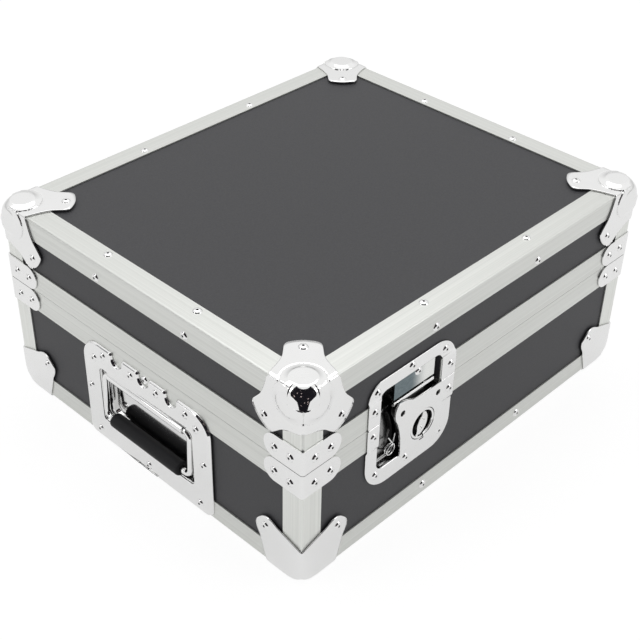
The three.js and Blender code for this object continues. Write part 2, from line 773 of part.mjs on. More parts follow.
// Turn knob: a cup with a finger pocket, on a shaft that runs in the dish's bush
function latchKnob() {
  const face = sheetFace + knobSink;
  const pocketFloor = face + knobPocketDepth;
  const back = pocketFloor + knobFloor;
  const pocketRadius = knobRadius - knobRim;
  const profile = [
    [0, pocketFloor], [pocketRadius, pocketFloor], [pocketRadius, face], [knobRadius, face],
    [knobRadius, back], [shaftRadius, back], [shaftRadius, latchPanDepth - fitGap],
    [0, latchPanDepth - fitGap],
  ];
  const points = profile.map(([radius, depth]) => new THREE.Vector2(radius, depth));
  const cup = solidOf(new THREE.LatheGeometry(points, collarSides));
  const hole = bar(
    wingPinRadius + fitGap, -knobRadius, knobRadius, 'z', [-wingHingeOffset, face + wingThickness / 2],
  );
  return geometryOf(cut(cup, hole));
}

// Folding wing: a lens-shaped plate on a pivot barrel, about its own hinge line
function latchWing() {
  const bulge = wingHalfWidth;
  const radius = (wingHalfLength ** 2 + bulge ** 2) / (2 * bulge);
  const sweep = Math.asin(wingHalfLength / radius);
  const shape = new THREE.Shape();
  const about = 2 * quarterTurn;
  shape.absarc(wingHingeOffset + bulge - radius, 0, radius, -sweep, sweep, false);
  shape.absarc(wingHingeOffset - bulge + radius, 0, radius, about - sweep, about + sweep, false);
  const plate = slab(shape, -wingThickness / 2, wingThickness / 2);
  const pocketRadius = knobRadius - knobRim;
  const pinReach = Math.sqrt(pocketRadius ** 2 - wingHingeOffset ** 2) + wingPinInsert;
  return geometryOf(joined(plate, bar(wingPinRadius, -pinReach, pinReach, 'z', [0, 0])));
}

// Outline of the handle dish's bezel, drawn in by an inset
function handleOutline(inset) {
  const top = handleTopCorner - inset;
  const bottom = handleBottomCorner - inset;
  const half = handleHalfWidth - inset;
  return roundedOutline(-half, half, handleBottom + inset, handleTop - inset, [bottom, bottom, top, top]);
}

function handlePanShape(grow) {
  const half = handleOpeningHalf + grow;
  const corners = Array(4).fill(handleOpeningCorner + grow);
  return roundedOutline(-half, half, handleOpeningBottom - grow, handleOpeningTop + grow, corners);
}

// Handle dish: a raised bevelled bezel, a shallow pan and the barrel that holds the bail
function handleDish() {
  const face = -handleBezelRise;
  const bezelBack = face + sheet;
  const floor = handlePanDepth;
  const raised = drawn([[handleOutline(handleBevel), face], [handleOutline(0), sheetBack]]);
  const notchCentres = [-notchPitch, 0, notchPitch];
  const notchAt = (centre, grow) => {
    const half = notchWidth / 2 + grow;
    const small = edgeRadius / 2;
    const top = handleTop + overrun;
    const radii = [half, half, small, small];
    const outline = roundedOutline(centre - half, centre + half, notchBottom - grow, top, radii);
    return slab(outline, face - overrun, sheetBack + overrun);
  };
  const notchWalls = notchCentres.map((centre) => notchAt(centre, sheet));
  const under = drawn([
    [handleOutline(handleBevel + sheet), bezelBack], [handleOutline(sheet), sheetBack + overrun],
  ]);
  const bezel = cut(raised, cut(under, ...notchWalls));
  const pan = drawn([
    [handlePanShape(sheet), bezelBack - sheet / 2],
    [handlePanShape(sheet - handlePanDraft / 3), floor - sheet],
    [handlePanShape(sheet - handlePanDraft), floor + sheet],
  ]);
  const hollow = drawn([
    [handlePanShape(0), bezelBack], [handlePanShape(-handlePanDraft / 3), floor - sheet],
    [handlePanShape(-handlePanDraft), floor],
  ]);
  const barrelRadius = bailRadius + fitGap + sheet;
  const axis = [pivotDepth, pivotHeight];
  const barrel = bar(barrelRadius, -barrelHalfLength, barrelHalfLength, 'x', axis, collarSides);
  const bore = bar(
    bailRadius + fitGap, -barrelHalfLength - overrun, barrelHalfLength + overrun, 'x', axis, collarSides,
  );
  const middle = block(
    [-barrelHalfLength, face - overrun, handleOpeningBottom + handleOpeningCorner],
    [barrelHalfLength, bezelBack + overrun, pivotHeight],
  );
  const lowOutline = roundedOutline(
    -handleOpeningHalf, handleOpeningHalf, handleOpeningBottom, pivotHeight - barrelRadius,
    [handleOpeningCorner, handleOpeningCorner, edgeRadius / 2, edgeRadius / 2],
  );
  const endAt = (side) => {
    const inner = side * barrelHalfLength;
    const outer = side * handleOpeningHalf;
    const ends = [inner, outer].sort((a, b) => a - b);
    const corners = side > 0 ? [edgeRadius / 2, edgeRadius / 2, handleOpeningCorner, edgeRadius / 2]
      : [edgeRadius / 2, edgeRadius / 2, edgeRadius / 2, handleOpeningCorner];
    const low = handleOpeningBottom + handleOpeningCorner;
    const outline = roundedOutline(...ends, low, handleOpeningTop, corners);
    return slab(outline, face - overrun, bezelBack + overrun / 2);
  };
  const window = joined(slab(lowOutline, face - overrun, bezelBack + overrun / 2), endAt(-1), endAt(1));
  const tray = cut(joined(bezel, pan), hollow, window, middle.intersect(window));
  return geometryOf(cut(joined(tray, barrel), bore, ...notchCentres.map((centre) => notchAt(centre, 0))));
}

// Bail: one bent rod whose turned-in ends run in the barrel, about its pivot line
function bail() {
  const drop = Math.hypot(pivotHeight - gripHeight, pivotDepth - gripDepth);
  const inner = barrelHalfLength - bailInsert;
  const half = new THREE.Path();
  half.moveTo(inner, 0);
  half.lineTo(bailHalfSpan - bailBend, 0);
  half.absarc(bailHalfSpan - bailBend, -bailBend, bailBend, quarterTurn, 0, true);
  half.lineTo(bailHalfSpan, bailBend - drop);
  half.absarc(bailHalfSpan - bailBend, bailBend - drop, bailBend, 0, -quarterTurn, true);
  const fresh = (point, i, all) => i === 0 || point.distanceTo(all[i - 1]) > sameSpot;
  const path = half.getPoints(arcSteps).filter(fresh);
  const right = path.map((point) => new THREE.Vector3(point.x, 0, point.y));
  const left = right.map((point) => new THREE.Vector3(-point.x, 0, point.z)).reverse();
  return geometryOf(rod([...right, ...left], bailRadius));
}

// A round rod along points that run mostly across the face, with its rings set on the bisectors
function rod(points, radius) {
  const position = [];
  const faces = [];
  const inwards = new THREE.Vector3(0, 1, 0);
  points.forEach((point, i) => {
    const first = Math.max(i - 1, 0);
    const last = Math.min(i + 1, points.length - 1);
    const arriving = point.clone().sub(points[first]).normalize();
    const leaving = points[last].clone().sub(point).normalize();
    const along = arriving.clone().add(leaving).normalize();
    const stretch = 1 / along.dot(i > 0 ? arriving : leaving);
    const across = along.clone().cross(inwards).normalize();
    const upright = across.clone().cross(along);
    for (let side = 0; side < tubeSides; side += 1) {
      const turn = (side / tubeSides) * 2 * Math.PI;
      const spot = point.clone()
        .addScaledVector(across, Math.cos(turn) * radius * stretch)
        .addScaledVector(upright, Math.sin(turn) * radius);
      position.push(spot.x, spot.y, spot.z);
    }
  });
  for (let i = 0; i + 1 < points.length; i += 1) {
    for (let side = 0; side < tubeSides; side += 1) {
      const next = (side + 1) % tubeSides;
      const here = i * tubeSides;
      const there = here + tubeSides;
      faces.push(here + side, there + side, here + next, here + next, there + side, there + next);
    }
  }
  const last = (points.length - 1) * tubeSides;
  for (let side = 1; side + 1 < tubeSides; side += 1) {
    faces.push(0, side, side + 1);
    faces.push(last, last + side + 1, last + side);
  }
  const geometry = new THREE.BufferGeometry();
  geometry.setAttribute('position', new THREE.Float32BufferAttribute(position, 3));
  geometry.setIndex(faces);
  return solidOf(geometry);
}

// Rubber sleeve on the bail's crossbar, about the pivot line
function gripSleeve() {
  const drop = Math.hypot(pivotHeight - gripHeight, pivotDepth - gripDepth);
  const bore = bailRadius + fitGap;
  const profile = [
    [bore, -gripHalfLength], [gripRadius - gripEndRound, -gripHalfLength],
    [gripRadius, gripEndRound - gripHalfLength], [gripRadius, gripHalfLength - gripEndRound],
    [gripRadius - gripEndRound, gripHalfLength], [bore, gripHalfLength], [bore, -gripHalfLength],
  ];
  const points = profile.map(([radius, along]) => new THREE.Vector2(radius, along));
  const lathe = new THREE.LatheGeometry(points, collarSides);
  lathe.rotateZ(-quarterTurn);
  lathe.translate(0, 0, -drop);
  return geometryOf(solidOf(lathe));
}

// Assembly
const flightCase = new THREE.Group();
flightCase.position.set((gripReach - ballFacetRise) / 2, 0, groundClearance);

function add(parent, name, geometry, finish, place = [0, 0, 0], turn = [0, 0, 0]) {
  const material = new THREE.MeshStandardMaterial({ ...finishes[finish], flatShading: true });
  const mesh = new THREE.Mesh(geometry, material);
  mesh.name = name;
  mesh.position.set(...place);
  mesh.rotation.set(...turn);
  parent.add(mesh);
}

// The four faces, each with a frame whose X runs along it, Y into the case and Z up
const sides = ['front', 'right', 'back', 'left'].map((name, i) => {
  const across = i % 2 === 0;
  const group = new THREE.Group();
  group.rotation.z = i * quarterTurn;
  group.position.set(0, across ? -caseDepth / 2 : -caseWidth / 2, 0);
  group.position.applyAxisAngle(upwards, group.rotation.z);
  flightCase.add(group);
  return { name, group, width: across ? caseWidth : caseDepth };
});

// The four upright corners, each with a frame whose X and Y run inwards along its two faces
const corners = ['front_left', 'front_right', 'back_right', 'back_left'].map((name, i) => {
  const group = new THREE.Group();
  const signX = i === 1 || i === 2 ? 1 : -1;
  const signY = i > 1 ? 1 : -1;
  group.rotation.z = i * quarterTurn;
  group.position.set(signX * caseWidth / 2, signY * caseDepth / 2, 0);
  flightCase.add(group);
  return { name, group };
});

// Room that a latch dish takes in the panels and valances, in its face's frame
function latchRoom(depth) {
  const grow = sheet + fitGap;
  const outline = latchOpeningShape(grow);
  const near = slab(outline, -overrun, depth);
  return moved(geometryOf(near), new THREE.Matrix4().makeTranslation(latchCentre, 0, latchRise));
}

function handleRoom() {
  return slab(handlePanShape(sheet + fitGap), -overrun, panelBack + overrun);
}

const topTrim = geometryOf(cornerTrim(ballInset, ballRadius - ballShell - ballSeatGap));
const bottomTrim = geometryOf(cornerTrim(footDomeInset, footDomeRadius - sheet - fitGap));

sides.forEach(({ name, group, width }) => {
  const latched = name === 'front' || name === 'back';
  const handled = name === 'left';
  const through = panelBack + overrun;
  const lidCuts = latched ? [latchRoom(through)] : [];
  const baseCuts = [...lidCuts, ...(handled ? [handleRoom()] : [])];
  const lidTop = caseHeight - panelInset;
  add(group, `lid_wall_${name}`, wallPanel(width, lidWallBottom, lidTop, lidCuts), 'laminate');
  add(group, `base_wall_${name}`, wallPanel(width, panelInset, baseWallTop, baseCuts), 'laminate');
  add(group, `lid_edge_${name}`, upended(edgeLength(width, topTrim)), 'aluminium');
});

// The latches are notched right through the valances. That leaves two lengths of each: one
// round the handle's side and, half a turn on, the same again round the plain side.
const halfTurn = new THREE.Matrix4().makeRotationZ(Math.PI);
const notch = geometryOf(latchRoom(lipBack + overrun)).translate(0, -caseDepth / 2, 0);
const throughLatches = new THREE.Matrix4().makeRotationZ(Math.atan2(latchCentre, caseDepth / 2));
const plainSide = geometryOf(block([0, -caseWidth, 0], [caseWidth, caseWidth, caseHeight]));
const valanceCuts = [solidOf(notch), moved(notch, halfTurn), moved(plainSide, throughLatches)];
Object.entries({ lid: lidValance(), base: baseValance() }).forEach(([half, ring]) => {
  const length = geometryOf(cut(ring, ...valanceCuts));
  add(flightCase, `${half}_valance_left`, length, 'aluminium');
  add(flightCase, `${half}_valance_right`, geometryOf(moved(length, halfTurn)), 'aluminium');
});

const bottomTrims = corners.map(({ group }) => {
  group.updateMatrix();
  return moved(bottomTrim, group.matrix);
});
add(flightCase, 'base_edge', edgingFrame(bottomTrims), 'aluminium');

add(flightCase, 'lid_top_panel', flatPanel(caseHeight - panelBack), 'laminate');
add(flightCase, 'base_bottom_panel', flatPanel(panelFace), 'laminate');
add(flightCase, 'lid_foam', foamTray(caseHeight - panelInset, baseHeight + foamRimDrop), 'foam');
add(flightCase, 'base_foam', foamTray(panelInset, baseHeight - foamRimDrop), 'foam');

corners.forEach(({ name, group }) => {
  const lidPost = cornerPost(baseHeight + valanceReach + fitGap, caseHeight - flangeReach - fitGap);
  const basePost = cornerPost(flangeReach + fitGap, baseHeight - valanceReach - fitGap);
  add(group, `lid_post_${name}`, lidPost, 'aluminium');
  add(group, `base_post_${name}`, basePost, 'aluminium');
  add(group, `ball_corner_${name}`, upended(ballCorner()), 'chrome');
  add(group, `base_corner_${name}`, footCorner(), 'chrome');
  add(group, `lid_brace_${name}`, cornerBrace(baseHeight + fitGap), 'chrome');
  add(group, `base_brace_${name}`, cornerBrace(baseHeight - fitGap - braceHeight), 'chrome');
});

// The same latch on the front and, half a turn round, on the back
sides.filter(({ name }) => name === 'front' || name === 'back').forEach(({ name, group }) => {
  const latch = new THREE.Group();
  latch.position.set(latchCentre, 0, latchRise);
  group.add(latch);
  const wingLean = THREE.MathUtils.degToRad(wingLeanDegrees);
  const swing = THREE.MathUtils.degToRad(hookSwingDegrees);
  const knob = new THREE.Group();
  knob.position.set(knobCentre.u, 0, knobCentre.v);
  knob.rotation.y = wingLean;
  latch.add(knob);
  add(latch, `${name}_latch_dish`, latchDish(), 'chrome');
  add(latch, `${name}_latch_keeper_dish`, keeperDish(), 'chrome');
  add(latch, `${name}_latch_hook`, latchHook(), 'chrome', [0, hookPivot.depth, hookPivot.v], [-swing, 0, 0]);
  add(knob, `${name}_latch_knob`, latchKnob(), 'chrome');
  const wingDepth = sheetFace + knobSink + wingThickness / 2;
  add(knob, `${name}_latch_wing`, latchWing(), 'chrome', [-wingHingeOffset, wingDepth, 0]);
});

const handleSide = sides.find(({ name }) => name === 'left').group;
const bailLean = Math.atan2(pivotDepth - gripDepth, pivotHeight - gripHeight);
const bailPlace = [0, pivotDepth, pivotHeight];
add(handleSide, 'handle_dish', handleDish(), 'chrome');
add(handleSide, 'handle_bail', bail(), 'chrome', bailPlace, [-bailLean, 0, 0]);
add(handleSide, 'handle_grip', gripSleeve(), 'rubber', bailPlace, [-bailLean, 0, 0]);

export default flightCase;
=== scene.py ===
from math import cos, pi, radians, sin, sqrt

import bmesh
import bpy
import numpy as np
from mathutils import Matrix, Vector
from mathutils.geometry import tessellate_polygon


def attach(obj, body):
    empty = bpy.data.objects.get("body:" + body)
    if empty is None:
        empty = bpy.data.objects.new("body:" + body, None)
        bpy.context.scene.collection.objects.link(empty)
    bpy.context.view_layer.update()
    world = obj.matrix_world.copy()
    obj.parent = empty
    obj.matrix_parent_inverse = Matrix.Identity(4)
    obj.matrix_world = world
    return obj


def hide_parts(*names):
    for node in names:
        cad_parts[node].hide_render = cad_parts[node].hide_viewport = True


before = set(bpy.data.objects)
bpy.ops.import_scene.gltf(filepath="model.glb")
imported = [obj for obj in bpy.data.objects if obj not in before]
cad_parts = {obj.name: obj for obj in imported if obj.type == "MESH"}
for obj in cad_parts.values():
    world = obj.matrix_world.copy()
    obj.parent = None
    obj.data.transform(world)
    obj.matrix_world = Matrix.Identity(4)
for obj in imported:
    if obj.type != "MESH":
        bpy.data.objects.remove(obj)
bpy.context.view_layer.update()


# The room: a white table in a white tent, lit softly from above, with the camera where the
# photographer stood. The tent's dark opening behind the camera shows in bright metal alone.
class Signal:
    """A node's output that sums can be written with; each operator adds its Math node."""

    def __init__(self, finish, socket):
        self.finish = finish
        self.socket = socket

    def sum(self, operation, *values):
        return self.finish.node("ShaderNodeMath", {"operation": operation}, dict(enumerate(values)))

    def __add__(self, other):
        return self.sum("ADD", self, other)

    def __radd__(self, other):
        return self.sum("ADD", other, self)

    def __rsub__(self, other):
        return self.sum("SUBTRACT", other, self)

    def __mul__(self, other):
        return self.sum("MULTIPLY", self, other)


class Finish:
    """The nodes of a material or of the world."""

    def __init__(self, owner):
        owner.use_nodes = True
        self.owner = owner
        self.tree = owner.node_tree
        self.tree.nodes.clear()

    def node(self, kind, settings=None, inputs=None, output=0):
        """Adds a node: its settings first, then the values or links of its sockets."""
        node = self.tree.nodes.new(kind)
        for name, value in (settings or {}).items():
            setattr(node, name, value)
        for place, value in (inputs or {}).items():
            if isinstance(value, Signal):
                self.tree.links.new(value.socket, node.inputs[place])
            else:
                node.inputs[place].default_value = value
        return Signal(self, node.outputs[output]) if node.outputs else None

    def mix(self, factor, first, second):
        """Goes from the first color to the second as the factor goes from 0 to 1."""
        sockets = {0: factor, 6: first, 7: second}
        return self.node("ShaderNodeMix", {"data_type": "RGBA"}, sockets, 2)

    def noise(self, scale, detail=2.0, stretch=(1, 1, 1)):
        """Cloudy values from 0 to 1 over the object, packed along its axes by stretch."""
        place = self.node("ShaderNodeTexCoord", output="Object")
        place = self.node("ShaderNodeMapping", inputs={"Vector": place, "Scale": stretch})
        cloud = {"Vector": place, "Scale": scale, "Detail": detail}
        return self.node("ShaderNodeTexNoise", inputs=cloud)

    def ramp(self, value, start, end, settings=None):
        """Goes from 0 to 1 as the value goes from start to end, and stays there."""
        sockets = {0: value, 1: start, 2: end, 3: 0.0, 4: 1.0}
        return self.node("ShaderNodeMapRange", settings, sockets)

    def bump(self, strength, height, distance=0.0002):
        """A normal that leans with the height's slope."""
        return self.node("ShaderNodeBump", inputs={
            "Strength": strength, "Distance": distance, "Height": height,
        })

    def surface(self, shader, inputs, output="ShaderNodeOutputMaterial"):
        """Ends the nodes in a shader and gives their owner."""
        self.node(output, inputs={"Surface": self.node(shader, inputs=inputs)})
        return self.owner


def table_top():
    """White paint with faint clouds that glows for the camera, and less so in mirrors."""
    finish = Finish(bpy.data.materials.new("table_white"))
    seen = finish.node("ShaderNodeLightPath", output="Is Camera Ray")
    mirrored = finish.node("ShaderNodeLightPath", output="Is Glossy Ray")
    color = finish.mix(finish.noise(3), (0.86, 0.86, 0.86, 1), (0.88, 0.88, 0.88, 1))
    paint = finish.node("ShaderNodeBsdfDiffuse", inputs={"Color": color})
    glow = finish.node("ShaderNodeEmission", inputs={"Color": (1, 1, 1, 1), "Strength": 1.12})
    glow_share = seen * 0.8 + mirrored * 0.5
    return finish.surface("ShaderNodeMixShader", {0: glow_share, 1: paint, 2: glow})


def flat_sheets(name, corners, material, mirrored_only=False):
    """Four-cornered sheets, each one's corners anticlockwise as seen from its face."""
    mesh = bpy.data.meshes.new(name)
    mesh.from_pydata(corners, [], np.arange(len(corners)).reshape(-1, 4).tolist())
    mesh.materials.append(material)
    sheet = bpy.data.objects.new(name, mesh)
    bpy.context.collection.objects.link(sheet)
    if mirrored_only:
        sheet.visible_camera = False
        sheet.visible_diffuse = False
        sheet.visible_shadow = False


flat_sheets("table", [(-9, -9, 0), (9, -9, 0), (9, 9, 0), (-9, 9, 0)], table_top())

# The opening stands in strips on an arc round the case, and ten of them run in over the table.
dark = Finish(bpy.data.materials.new("tent_opening"))
spot = dark.node("ShaderNodeTexVoronoi", inputs={
    "Vector": dark.node("ShaderNodeTexCoord", output="Object"), "Scale": 2.3,
})
glint = dark.ramp(spot, 0.16, 0.1)
opening = dark.surface("ShaderNodeEmission", {
    "Color": dark.mix(glint, (0.010, 0.009, 0.012, 1), (0.75, 0.62, 0.60, 1)), "Strength": 1.0,
})
STRIPS = 16
TABLE_STRIPS = range(3, 13)
OPENING_FOOT = 0.003
OPENING_TOP = 2.1
sweep = np.radians(np.linspace(161, 289, STRIPS + 1))
ways = np.stack((np.cos(sweep), np.sin(sweep)), -1)
far = ways * 1.15 + (-0.12, -0.12)
near = ways * 0.24 + (-0.222, -0.192)
sheets = []
for strip in range(STRIPS):
    (near_first, near_second), (far_first, far_second) = near[strip:strip + 2], far[strip:strip + 2]
    sheets += [
        (*far_second, OPENING_FOOT), (*far_first, OPENING_FOOT),
        (*far_first, OPENING_TOP), (*far_second, OPENING_TOP),
    ]
    if strip in TABLE_STRIPS:
        on_table = (near_first, far_first, far_second, near_second)
        sheets += [(*point, OPENING_FOOT) for point in on_table]
flat_sheets("tent_opening", sheets, opening, mirrored_only=True)

# A grey seam of the tent behind the case, on the left.
seam = Finish(bpy.data.materials.new("tent_seam"))
shade = seam.mix(seam.noise(4), (0.16, 0.16, 0.17, 1), (0.24, 0.24, 0.25, 1))
flat_sheets("tent_seam", [
    (-1.05, 1.15, 0.62), (-1.35, 0.55, 0.62), (-1.2, 0.5, 1.05), (-0.9, 1.1, 1.05),
], seam.surface("ShaderNodeEmission", {0: shade}), mirrored_only=True)

# The tent's cloth is white for the camera; in metal it is greyer, and lighter further up.
world = Finish(bpy.data.worlds.new("tent"))
seen = world.node("ShaderNodeLightPath", output="Is Camera Ray")
mirrored = world.node("ShaderNodeLightPath", output="Is Glossy Ray")
direction = world.node("ShaderNodeTexCoord", output="Generated")
up = world.node("ShaderNodeSeparateXYZ", inputs={0: direction}, output=2)
in_metal = world.ramp(up, 0.0, 0.55) * 0.35 + 0.17
bpy.context.scene.world = world.surface("ShaderNodeBackground", {
    "Color": (1, 1, 1, 1), "Strength": 0.45 + seen * 0.8 + mirrored * in_metal,
}, "ShaderNodeOutputWorld")

LAMPS_AIM = (0, 0, 0.1)
for name, place, size, power in (
    ("lamp_above", (0.3, 0.5, 2.4), 2.2, 15),
    ("lamp_left", (-2.2, 0.9, 1.3), 1.4, 9),
    ("lamp_right", (1.1, -2.2, 1.3), 1.4, 9),
):
    light = bpy.data.lights.new(name, "AREA")
    light.size = size
    light.energy = power
    lamp = bpy.data.objects.new(name, light)
    lamp.location = place
    lamp.rotation_euler = (Vector(LAMPS_AIM) - Vector(place)).to_track_quat("-Z", "Y").to_euler()
    bpy.context.collection.objects.link(lamp)

lens = bpy.data.cameras.new("camera")
lens.lens = 69.93
lens.sensor_width = 36
camera = bpy.data.objects.new("camera", lens)
camera.location = (-0.72643, -0.68450, 0.79727)
camera.rotation_euler = (radians(53.5295), radians(-1.0274), radians(-45.8706))
bpy.context.collection.objects.link(camera)
bpy.context.scene.camera = camera
bpy.context.scene.view_settings.view_transform = "Standard"


# Panels: 9 mm plywood with a dark laminate that has a fine pebbled face. They sit in the slots
# of the edging, and the laminate is a little glossier on the pebbles than between them.
def laminate():
    """Two near blacks mixed by the pebbles, then half way to a third by broad clouds."""
    finish = Finish(bpy.data.materials.new("laminate"))
    pebble = finish.noise(900)
    cloud = finish.noise(14, 3.0)
    shade = finish.mix(pebble, (0.036, 0.036, 0.040, 1), (0.060, 0.060, 0.065, 1))
    return finish.surface("ShaderNodeBsdfPrincipled", {
        "Base Color": finish.mix(cloud * 0.5, shade, (0.045, 0.045, 0.049, 1)),
        "Roughness": 0.62 - pebble * 0.12,
        "Normal": finish.bump(0.35, pebble),
    })


def dress(names, material):
    """Gives carried-over parts their finish."""
    for name in names:
        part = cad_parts[name]
        part.data.materials.clear()
        part.data.materials.append(material)


HALVES = ("lid", "base")
SIDES = ("front", "right", "back", "left")
walls = [f"{half}_wall_{side}" for half in HALVES for side in SIDES]
dress(walls + ["lid_top_panel", "base_bottom_panel"], laminate())


# Edging: natural aluminium extrusion, satin, with the fine lengthwise lines of the die. The
# lines run along each length, so lengths along X, along Y and upright ones differ in grain.
def aluminium(name, stretch, tone_and_painted_light=0.95):
    """Fine lines and broad ones the same way set the color between two greys, and the roughness
    and the relief. The last argument scales the greys: the metal's tone, raised on the upright
    lengths as painted light."""
    finish = Finish(bpy.data.materials.new(name))
    lines = finish.noise(1.0, 4.0, stretch)
    broad = finish.noise(1.0, 1.0, tuple(0.22 * value for value in stretch))
    grain = lines * 0.65 + broad * 0.35
    low, high = np.array((0.62, 0.63, 0.60)) * tone_and_painted_light, np.array((0.90, 0.91, 0.88)) * tone_and_painted_light
    return finish.surface("ShaderNodeBsdfPrincipled", {
        "Base Color": finish.mix(grain, (*low, 1), (*high, 1)),
        "Metallic": 0.85,
        "Roughness": 0.46 - grain * 0.2,
        "Normal": finish.bump(0.3, grain),
    })


ALONG = 3
ACROSS = 1300
CORNERS = ("front_left", "front_right", "back_right", "back_left")
along_x = aluminium("aluminium_along_x", (ALONG, ACROSS, ACROSS))
along_y = aluminium("aluminium_along_y", (ACROSS, ALONG, ACROSS))
# Painted light: the upright lengths are made lighter than the rest, a tone of 1.08 against 0.95.
upright = aluminium("aluminium_upright", (ACROSS, ACROSS, ALONG), 1.08)
level = aluminium("aluminium_level", (ALONG, ALONG, ACROSS))
valances = [f"{half}_valance_{side}" for half in HALVES for side in ("left", "right")]
dress(["lid_edge_front", "lid_edge_back"], along_x)
dress(["lid_edge_left", "lid_edge_right"], along_y)
dress([f"{half}_post_{corner}" for half in HALVES for corner in CORNERS], upright)
dress(valances + ["base_edge"], level)

# Sizes in mm over the outside of the edging, and where the middle of its foot lies.
WIDTH = 450.0
DEPTH = 387.0
HEIGHT = 205.0
SHIFT = np.array((2.6, 0.0, 1.5))


def on_face(side, points):
    """Millimetre points (along, inwards, up) on one of the four faces, in metres in the frame:
    set out from the front face and turned by a quarter for each face on."""
    turn = SIDES.index(side) * pi / 2
    half = (DEPTH if side in ("front", "back") else WIDTH) / 2
    along = points[..., 0]
    inwards = points[..., 1] - half
    x = along * cos(turn) - inwards * sin(turn)
    y = along * sin(turn) + inwards * cos(turn)
    return (np.stack((x, y, points[..., 2]), -1) + SHIFT) / 1000


def at_corner(corner, points, from_top):
    """Millimetre points (inwards, inwards, down from the top or up from the bottom) at a corner:
    turned by a quarter for each corner on, then moved out to it."""
    number = CORNERS.index(corner)
    turn = number * pi / 2
    x = points[..., 0] * cos(turn) - points[..., 1] * sin(turn)
    y = points[..., 0] * sin(turn) + points[..., 1] * cos(turn)
    x = x + (WIDTH / 2 if number in (1, 2) else -WIDTH / 2)
    y = y + (DEPTH / 2 if number > 1 else -DEPTH / 2)
    z = HEIGHT - points[..., 2] if from_top else points[..., 2]
    return (np.stack((x, y, z), -1) + SHIFT) / 1000


def grid(points, around=False):
    """A part for make: points (rows, columns, 3) and the quads between them; around joins the
    last column to the first."""
    rows, columns = points.shape[:2]
    row, column = np.meshgrid(
        np.arange(rows - 1), np.arange(columns if around else columns - 1), indexing="ij",
    )
    after = (column + 1) % columns
    near = row * columns
    far = near + columns
    quads = np.stack((near + column, near + after, far + after, far + column), -1)
    return points, quads.reshape(-1, 4)


SAME_POINT = 2e-6
NO_LENGTH = 1e-6
CREASE = radians(35)
ROUNDED = radians(50)


def make(name, parts, material, body, flip=False, wall=0.0, edge=0.0, cuts=()):
    """A piece from (points, faces) parts: coincident points are merged, what lies past the cuts'
    planes goes, creases stay crisp, wall gives the sheet its thickness inwards and edge rounds
    its rim."""
    points = [part.reshape(-1, 3) for part, _ in parts]
    starts = np.cumsum([0] + [len(part) for part in points])
    faces = [face[::-1] if flip else face for (_, group), start in zip(parts, starts)
             for face in (np.asarray(group) + start).tolist()]
    mesh = bpy.data.meshes.new(name)
    mesh.from_pydata(np.concatenate(points).tolist(), [], faces)
    shape = bmesh.new()
    shape.from_mesh(mesh)
    bmesh.ops.remove_doubles(shape, verts=shape.verts, dist=SAME_POINT)
    bmesh.ops.dissolve_degenerate(shape, dist=NO_LENGTH, edges=shape.edges)
    for where, normal in cuts:
        everything = shape.verts[:] + shape.edges[:] + shape.faces[:]
        bmesh.ops.bisect_plane(
            shape, geom=everything, plane_co=where, plane_no=normal, clear_outer=True,
        )
    shape.to_mesh(mesh)
    shape.free()
    mesh.polygons.foreach_set("use_smooth", [True] * len(mesh.polygons))
    mesh.set_sharp_from_angle(angle=CREASE)
    mesh.materials.append(material)
    piece = bpy.data.objects.new(name, mesh)
    bpy.context.collection.objects.link(piece)
    if wall:
        solid = piece.modifiers.new("wall", "SOLIDIFY")
        solid.thickness = wall / 1000
        solid.offset = -1
        solid.use_quality_normals = True
    if edge:
        rim = piece.modifiers.new("edge", "BEVEL")
        rim.width = edge / 1000
        rim.segments = 2
        rim.limit_method = "ANGLE"
        rim.angle_limit = ROUNDED
        rim.harden_normals = True
    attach(piece, body)
    return piece


def plated(name, shade, roughness, relief=0.04):
    """Bright plated steel: smears set its shade and roughness, and with hairlines its relief."""
    finish = Finish(bpy.data.materials.new(name))
    smear = finish.noise(60, 3.0)
    hair = finish.noise(1.0, 2.0, (40, 900, 400))
    dim = (shade * 0.97, shade * 0.97, shade * 0.96, 1)
    return finish.surface("ShaderNodeBsdfPrincipled", {
        "Base Color": finish.mix(smear, dim, (shade, shade, shade, 1)),
        "Metallic": 1.0,
        "Roughness": roughness + smear * 0.08,
        "Normal": finish.bump(relief, smear + hair * 0.3),
    })


steel = plated("plated_steel", 0.89, 0.08)
bright_steel = plated("bright_steel", 0.89, 0.03)
# Near black for painted shade: in the rivets' hollows, behind the latch cover, in the knob's cup
# and along its notch.
painted_shade_black = plated("painted_shade_black_steel", 0.03, 0.3)

# Profiles of a rivet, as shares of its radius and height, from the middle to the rim and back.
RIVET_SIDES = 24
RIVET_HEAD = np.array((
    (0.0, 0.2), (0.24, 0.2), (0.27, 0.3), (0.28, 0.94), (0.33, 0.98), (0.45, 0.93), (0.6, 0.83),
    (0.75, 0.65), (0.88, 0.37), (0.96, 0.13), (1.0, 0.0), (0.9, -0.1), (0.0, -0.1),
))
RIVET_PIN = np.array(((0.0, 0.7), (0.24, 0.66), (0.25, 0.6), (0.24, 0.25), (0.0, 0.25)))


def turned_profile(name, body, spots, profile, finish):
    """One profile of radius and height turned about the line that stands on each (point, normal)
    spot."""
    turn = np.linspace(0, 2 * pi, RIVET_SIDES, endpoint=False)
    cosine, sine = np.cos(turn)[:, None], np.sin(turn)[:, None]
    where = np.array([spot for spot, _ in spots], float)
    normal = np.array([up for _, up in spots], float)
    helper = np.where(np.abs(normal[:, 2:]) > 0.9, (1.0, 0.0, 0.0), (0.0, 0.0, 1.0))
    across = np.cross(helper, normal)
    across /= np.linalg.norm(across, axis=1, keepdims=True)
    other = np.cross(normal, across)
    ring = cosine * across[:, None, None, :] + sine * other[:, None, None, :]
    points = (
        where[:, None, None, :] * 1000
        + ring * profile[None, :, 0, None, None]
        + normal[:, None, None, :] * profile[None, :, 1, None, None]
    ) / 1000
    parts = [grid(group, around=True) for group in points]
    make(name, parts, finish, body, flip=True)


